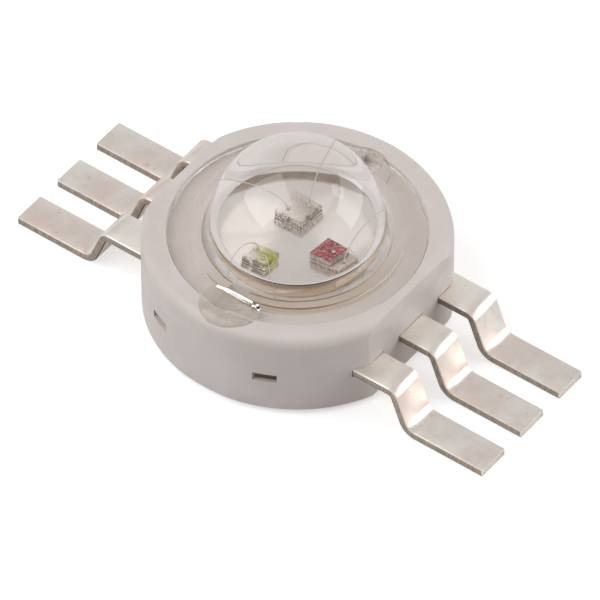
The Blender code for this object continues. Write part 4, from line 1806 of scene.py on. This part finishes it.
@dataclass
class Studio:
    """Pale floor, soft lamps and the camera at the photograph's angle."""

    azimuth: float = math.radians(36.77)
    elevation: float = math.radians(46.47)
    distance: float = 250 * MM
    pan_right: float = 0.064 * MM
    pan_up: float = -0.079 * MM
    aim_height: float = 0.1 * MM
    lens: float = 584.9
    sensor: float = 36.0
    ambient: float = 0.05
    backdrop: float = 0.66
    horizon: Span = (0.12, 0.40)
    lamp_distance: float = 0.5
    floor_size: float = 2.0
    floor_drop: float = 0.002 * MM
    soft_boxes: tuple[SoftBox, ...] = (
        SoftBox("front_box", azimuth=-130, elevation=50, width=0.50, height=0.50, glow=2.20),
        SoftBox("top_box", azimuth=80, elevation=78, width=0.35, height=0.35, glow=0.76,
                mirrored=Mirrored.NOWHERE),
        SoftBox("right_box", azimuth=86, elevation=51, width=0.26, height=0.34, glow=0.36,
                mirrored=Mirrored.THROUGH_LENS),
        SoftBox("left_box", azimuth=164, elevation=56, width=0.26, height=0.30, glow=0.20,
                mirrored=Mirrored.THROUGH_LENS),
        SoftBox("heel_box", azimuth=46, elevation=40, width=0.14, height=0.14, glow=2.5),
        SoftBox("side_box", azimuth=45, elevation=20, width=0.50, height=0.30, glow=2.15),
    )

    def add_camera(self) -> None:
        """Places the camera and makes it the scene's."""
        level = math.cos(self.elevation)
        right = Vector((math.cos(self.azimuth), math.sin(self.azimuth), 0.0))
        back = Vector((right.y * level, -right.x * level, math.sin(self.elevation)))
        up = back.cross(right)
        data = bpy.data.cameras.new("camera")
        data.lens = self.lens
        data.sensor_width = self.sensor
        data.clip_start = 1 * MM
        data.clip_end = 20.0
        camera = bpy.data.objects.new("camera", data)
        bpy.context.scene.collection.objects.link(camera)
        camera.location = back * self.distance + right * self.pan_right + up * self.pan_up
        camera.location.z += self.aim_height
        camera.rotation_euler = Matrix((right, up, back)).transposed().to_euler()
        bpy.context.scene.camera = camera

    def add_lamp(self, box: SoftBox) -> None:
        """Adds a soft box that faces the object.

        Args:
            box: Its place, from +X and over the floor, its sides, and its glow, where 1 is white.
        """
        turn, rise = math.radians(box.azimuth), math.radians(box.elevation)
        towards = Vector((math.cos(turn) * math.cos(rise), math.sin(turn) * math.cos(rise), math.sin(rise)))
        data = bpy.data.lights.new(box.name, "AREA")
        data.shape = "RECTANGLE"
        data.size, data.size_y = box.width, box.height
        data.energy = box.glow * math.pi * box.width * box.height
        lamp = bpy.data.objects.new(box.name, data)
        bpy.context.scene.collection.objects.link(lamp)
        lamp.location = towards * self.lamp_distance
        lamp.rotation_euler = towards.to_track_quat("Z", "Y").to_euler()
        lamp.visible_glossy, lamp.visible_transmission = box.mirrored.value

    def add_world(self) -> None:
        """Even ambient light under a pale ceiling that turns white towards the horizon."""
        world = bpy.data.worlds.new("studio")
        world.use_nodes = True
        bpy.context.scene.world = world
        tree = world.node_tree
        background = tree.nodes["Background"]
        towards = tree.nodes.new("ShaderNodeTexCoord")
        parts = tree.nodes.new("ShaderNodeSeparateXYZ")
        ceiling = tree.nodes.new("ShaderNodeMapRange")
        for key, number in zip(RANGE_ENDS, (*self.horizon, 1.0, self.backdrop)):
            ceiling.inputs[key].default_value = number
        rays = tree.nodes.new("ShaderNodeLightPath")
        shown = tree.nodes.new("ShaderNodeMath")
        shown.operation = "MAXIMUM"
        either = tree.nodes.new("ShaderNodeMath")
        either.operation = "MAXIMUM"
        strength = tree.nodes.new("ShaderNodeMix")
        strength.inputs["A"].default_value = self.ambient
        tree.links.new(towards.outputs["Generated"], parts.inputs["Vector"])
        tree.links.new(parts.outputs["Z"], ceiling.inputs["Value"])
        tree.links.new(rays.outputs["Is Camera Ray"], shown.inputs[0])
        tree.links.new(rays.outputs["Is Glossy Ray"], shown.inputs[1])
        tree.links.new(shown.outputs["Value"], either.inputs[0])
        tree.links.new(rays.outputs["Is Transmission Ray"], either.inputs[1])
        tree.links.new(either.outputs["Value"], strength.inputs["Factor"])
        tree.links.new(ceiling.outputs["Result"], strength.inputs["B"])
        tree.links.new(strength.outputs["Result"], background.inputs["Strength"])
        background.inputs["Color"].default_value = WHITE

    def add_floor(self) -> None:
        """Floor that the feet and the slug stand on."""
        bm = bmesh.new()
        bmesh.ops.create_grid(bm, x_segments=8, y_segments=8, size=self.floor_size)
        floor = solid("studio_floor", bm)
        floor.location.z = -self.floor_drop
        dress(floor, StudioFloor().material())

    def build(self) -> None:
        """Sets up the whole studio."""
        self.add_floor()
        self.add_world()
        for box in self.soft_boxes:
            self.add_lamp(box)
        self.add_camera()
        bpy.context.scene.view_settings.view_transform = "Standard"


def main() -> None:
    """Builds every sub-assembly and the studio."""
    logging.basicConfig(level=logging.INFO, format="%(message)s")
    leads, dies = LeadSet(), DieStack()
    HousingShell().build(leads)
    leads.build()
    HeatSlug().build()
    dies.build()
    BondWires().build(dies)
    LensOptic().build()
    Studio().build()


if __name__ == "__main__":
    main()
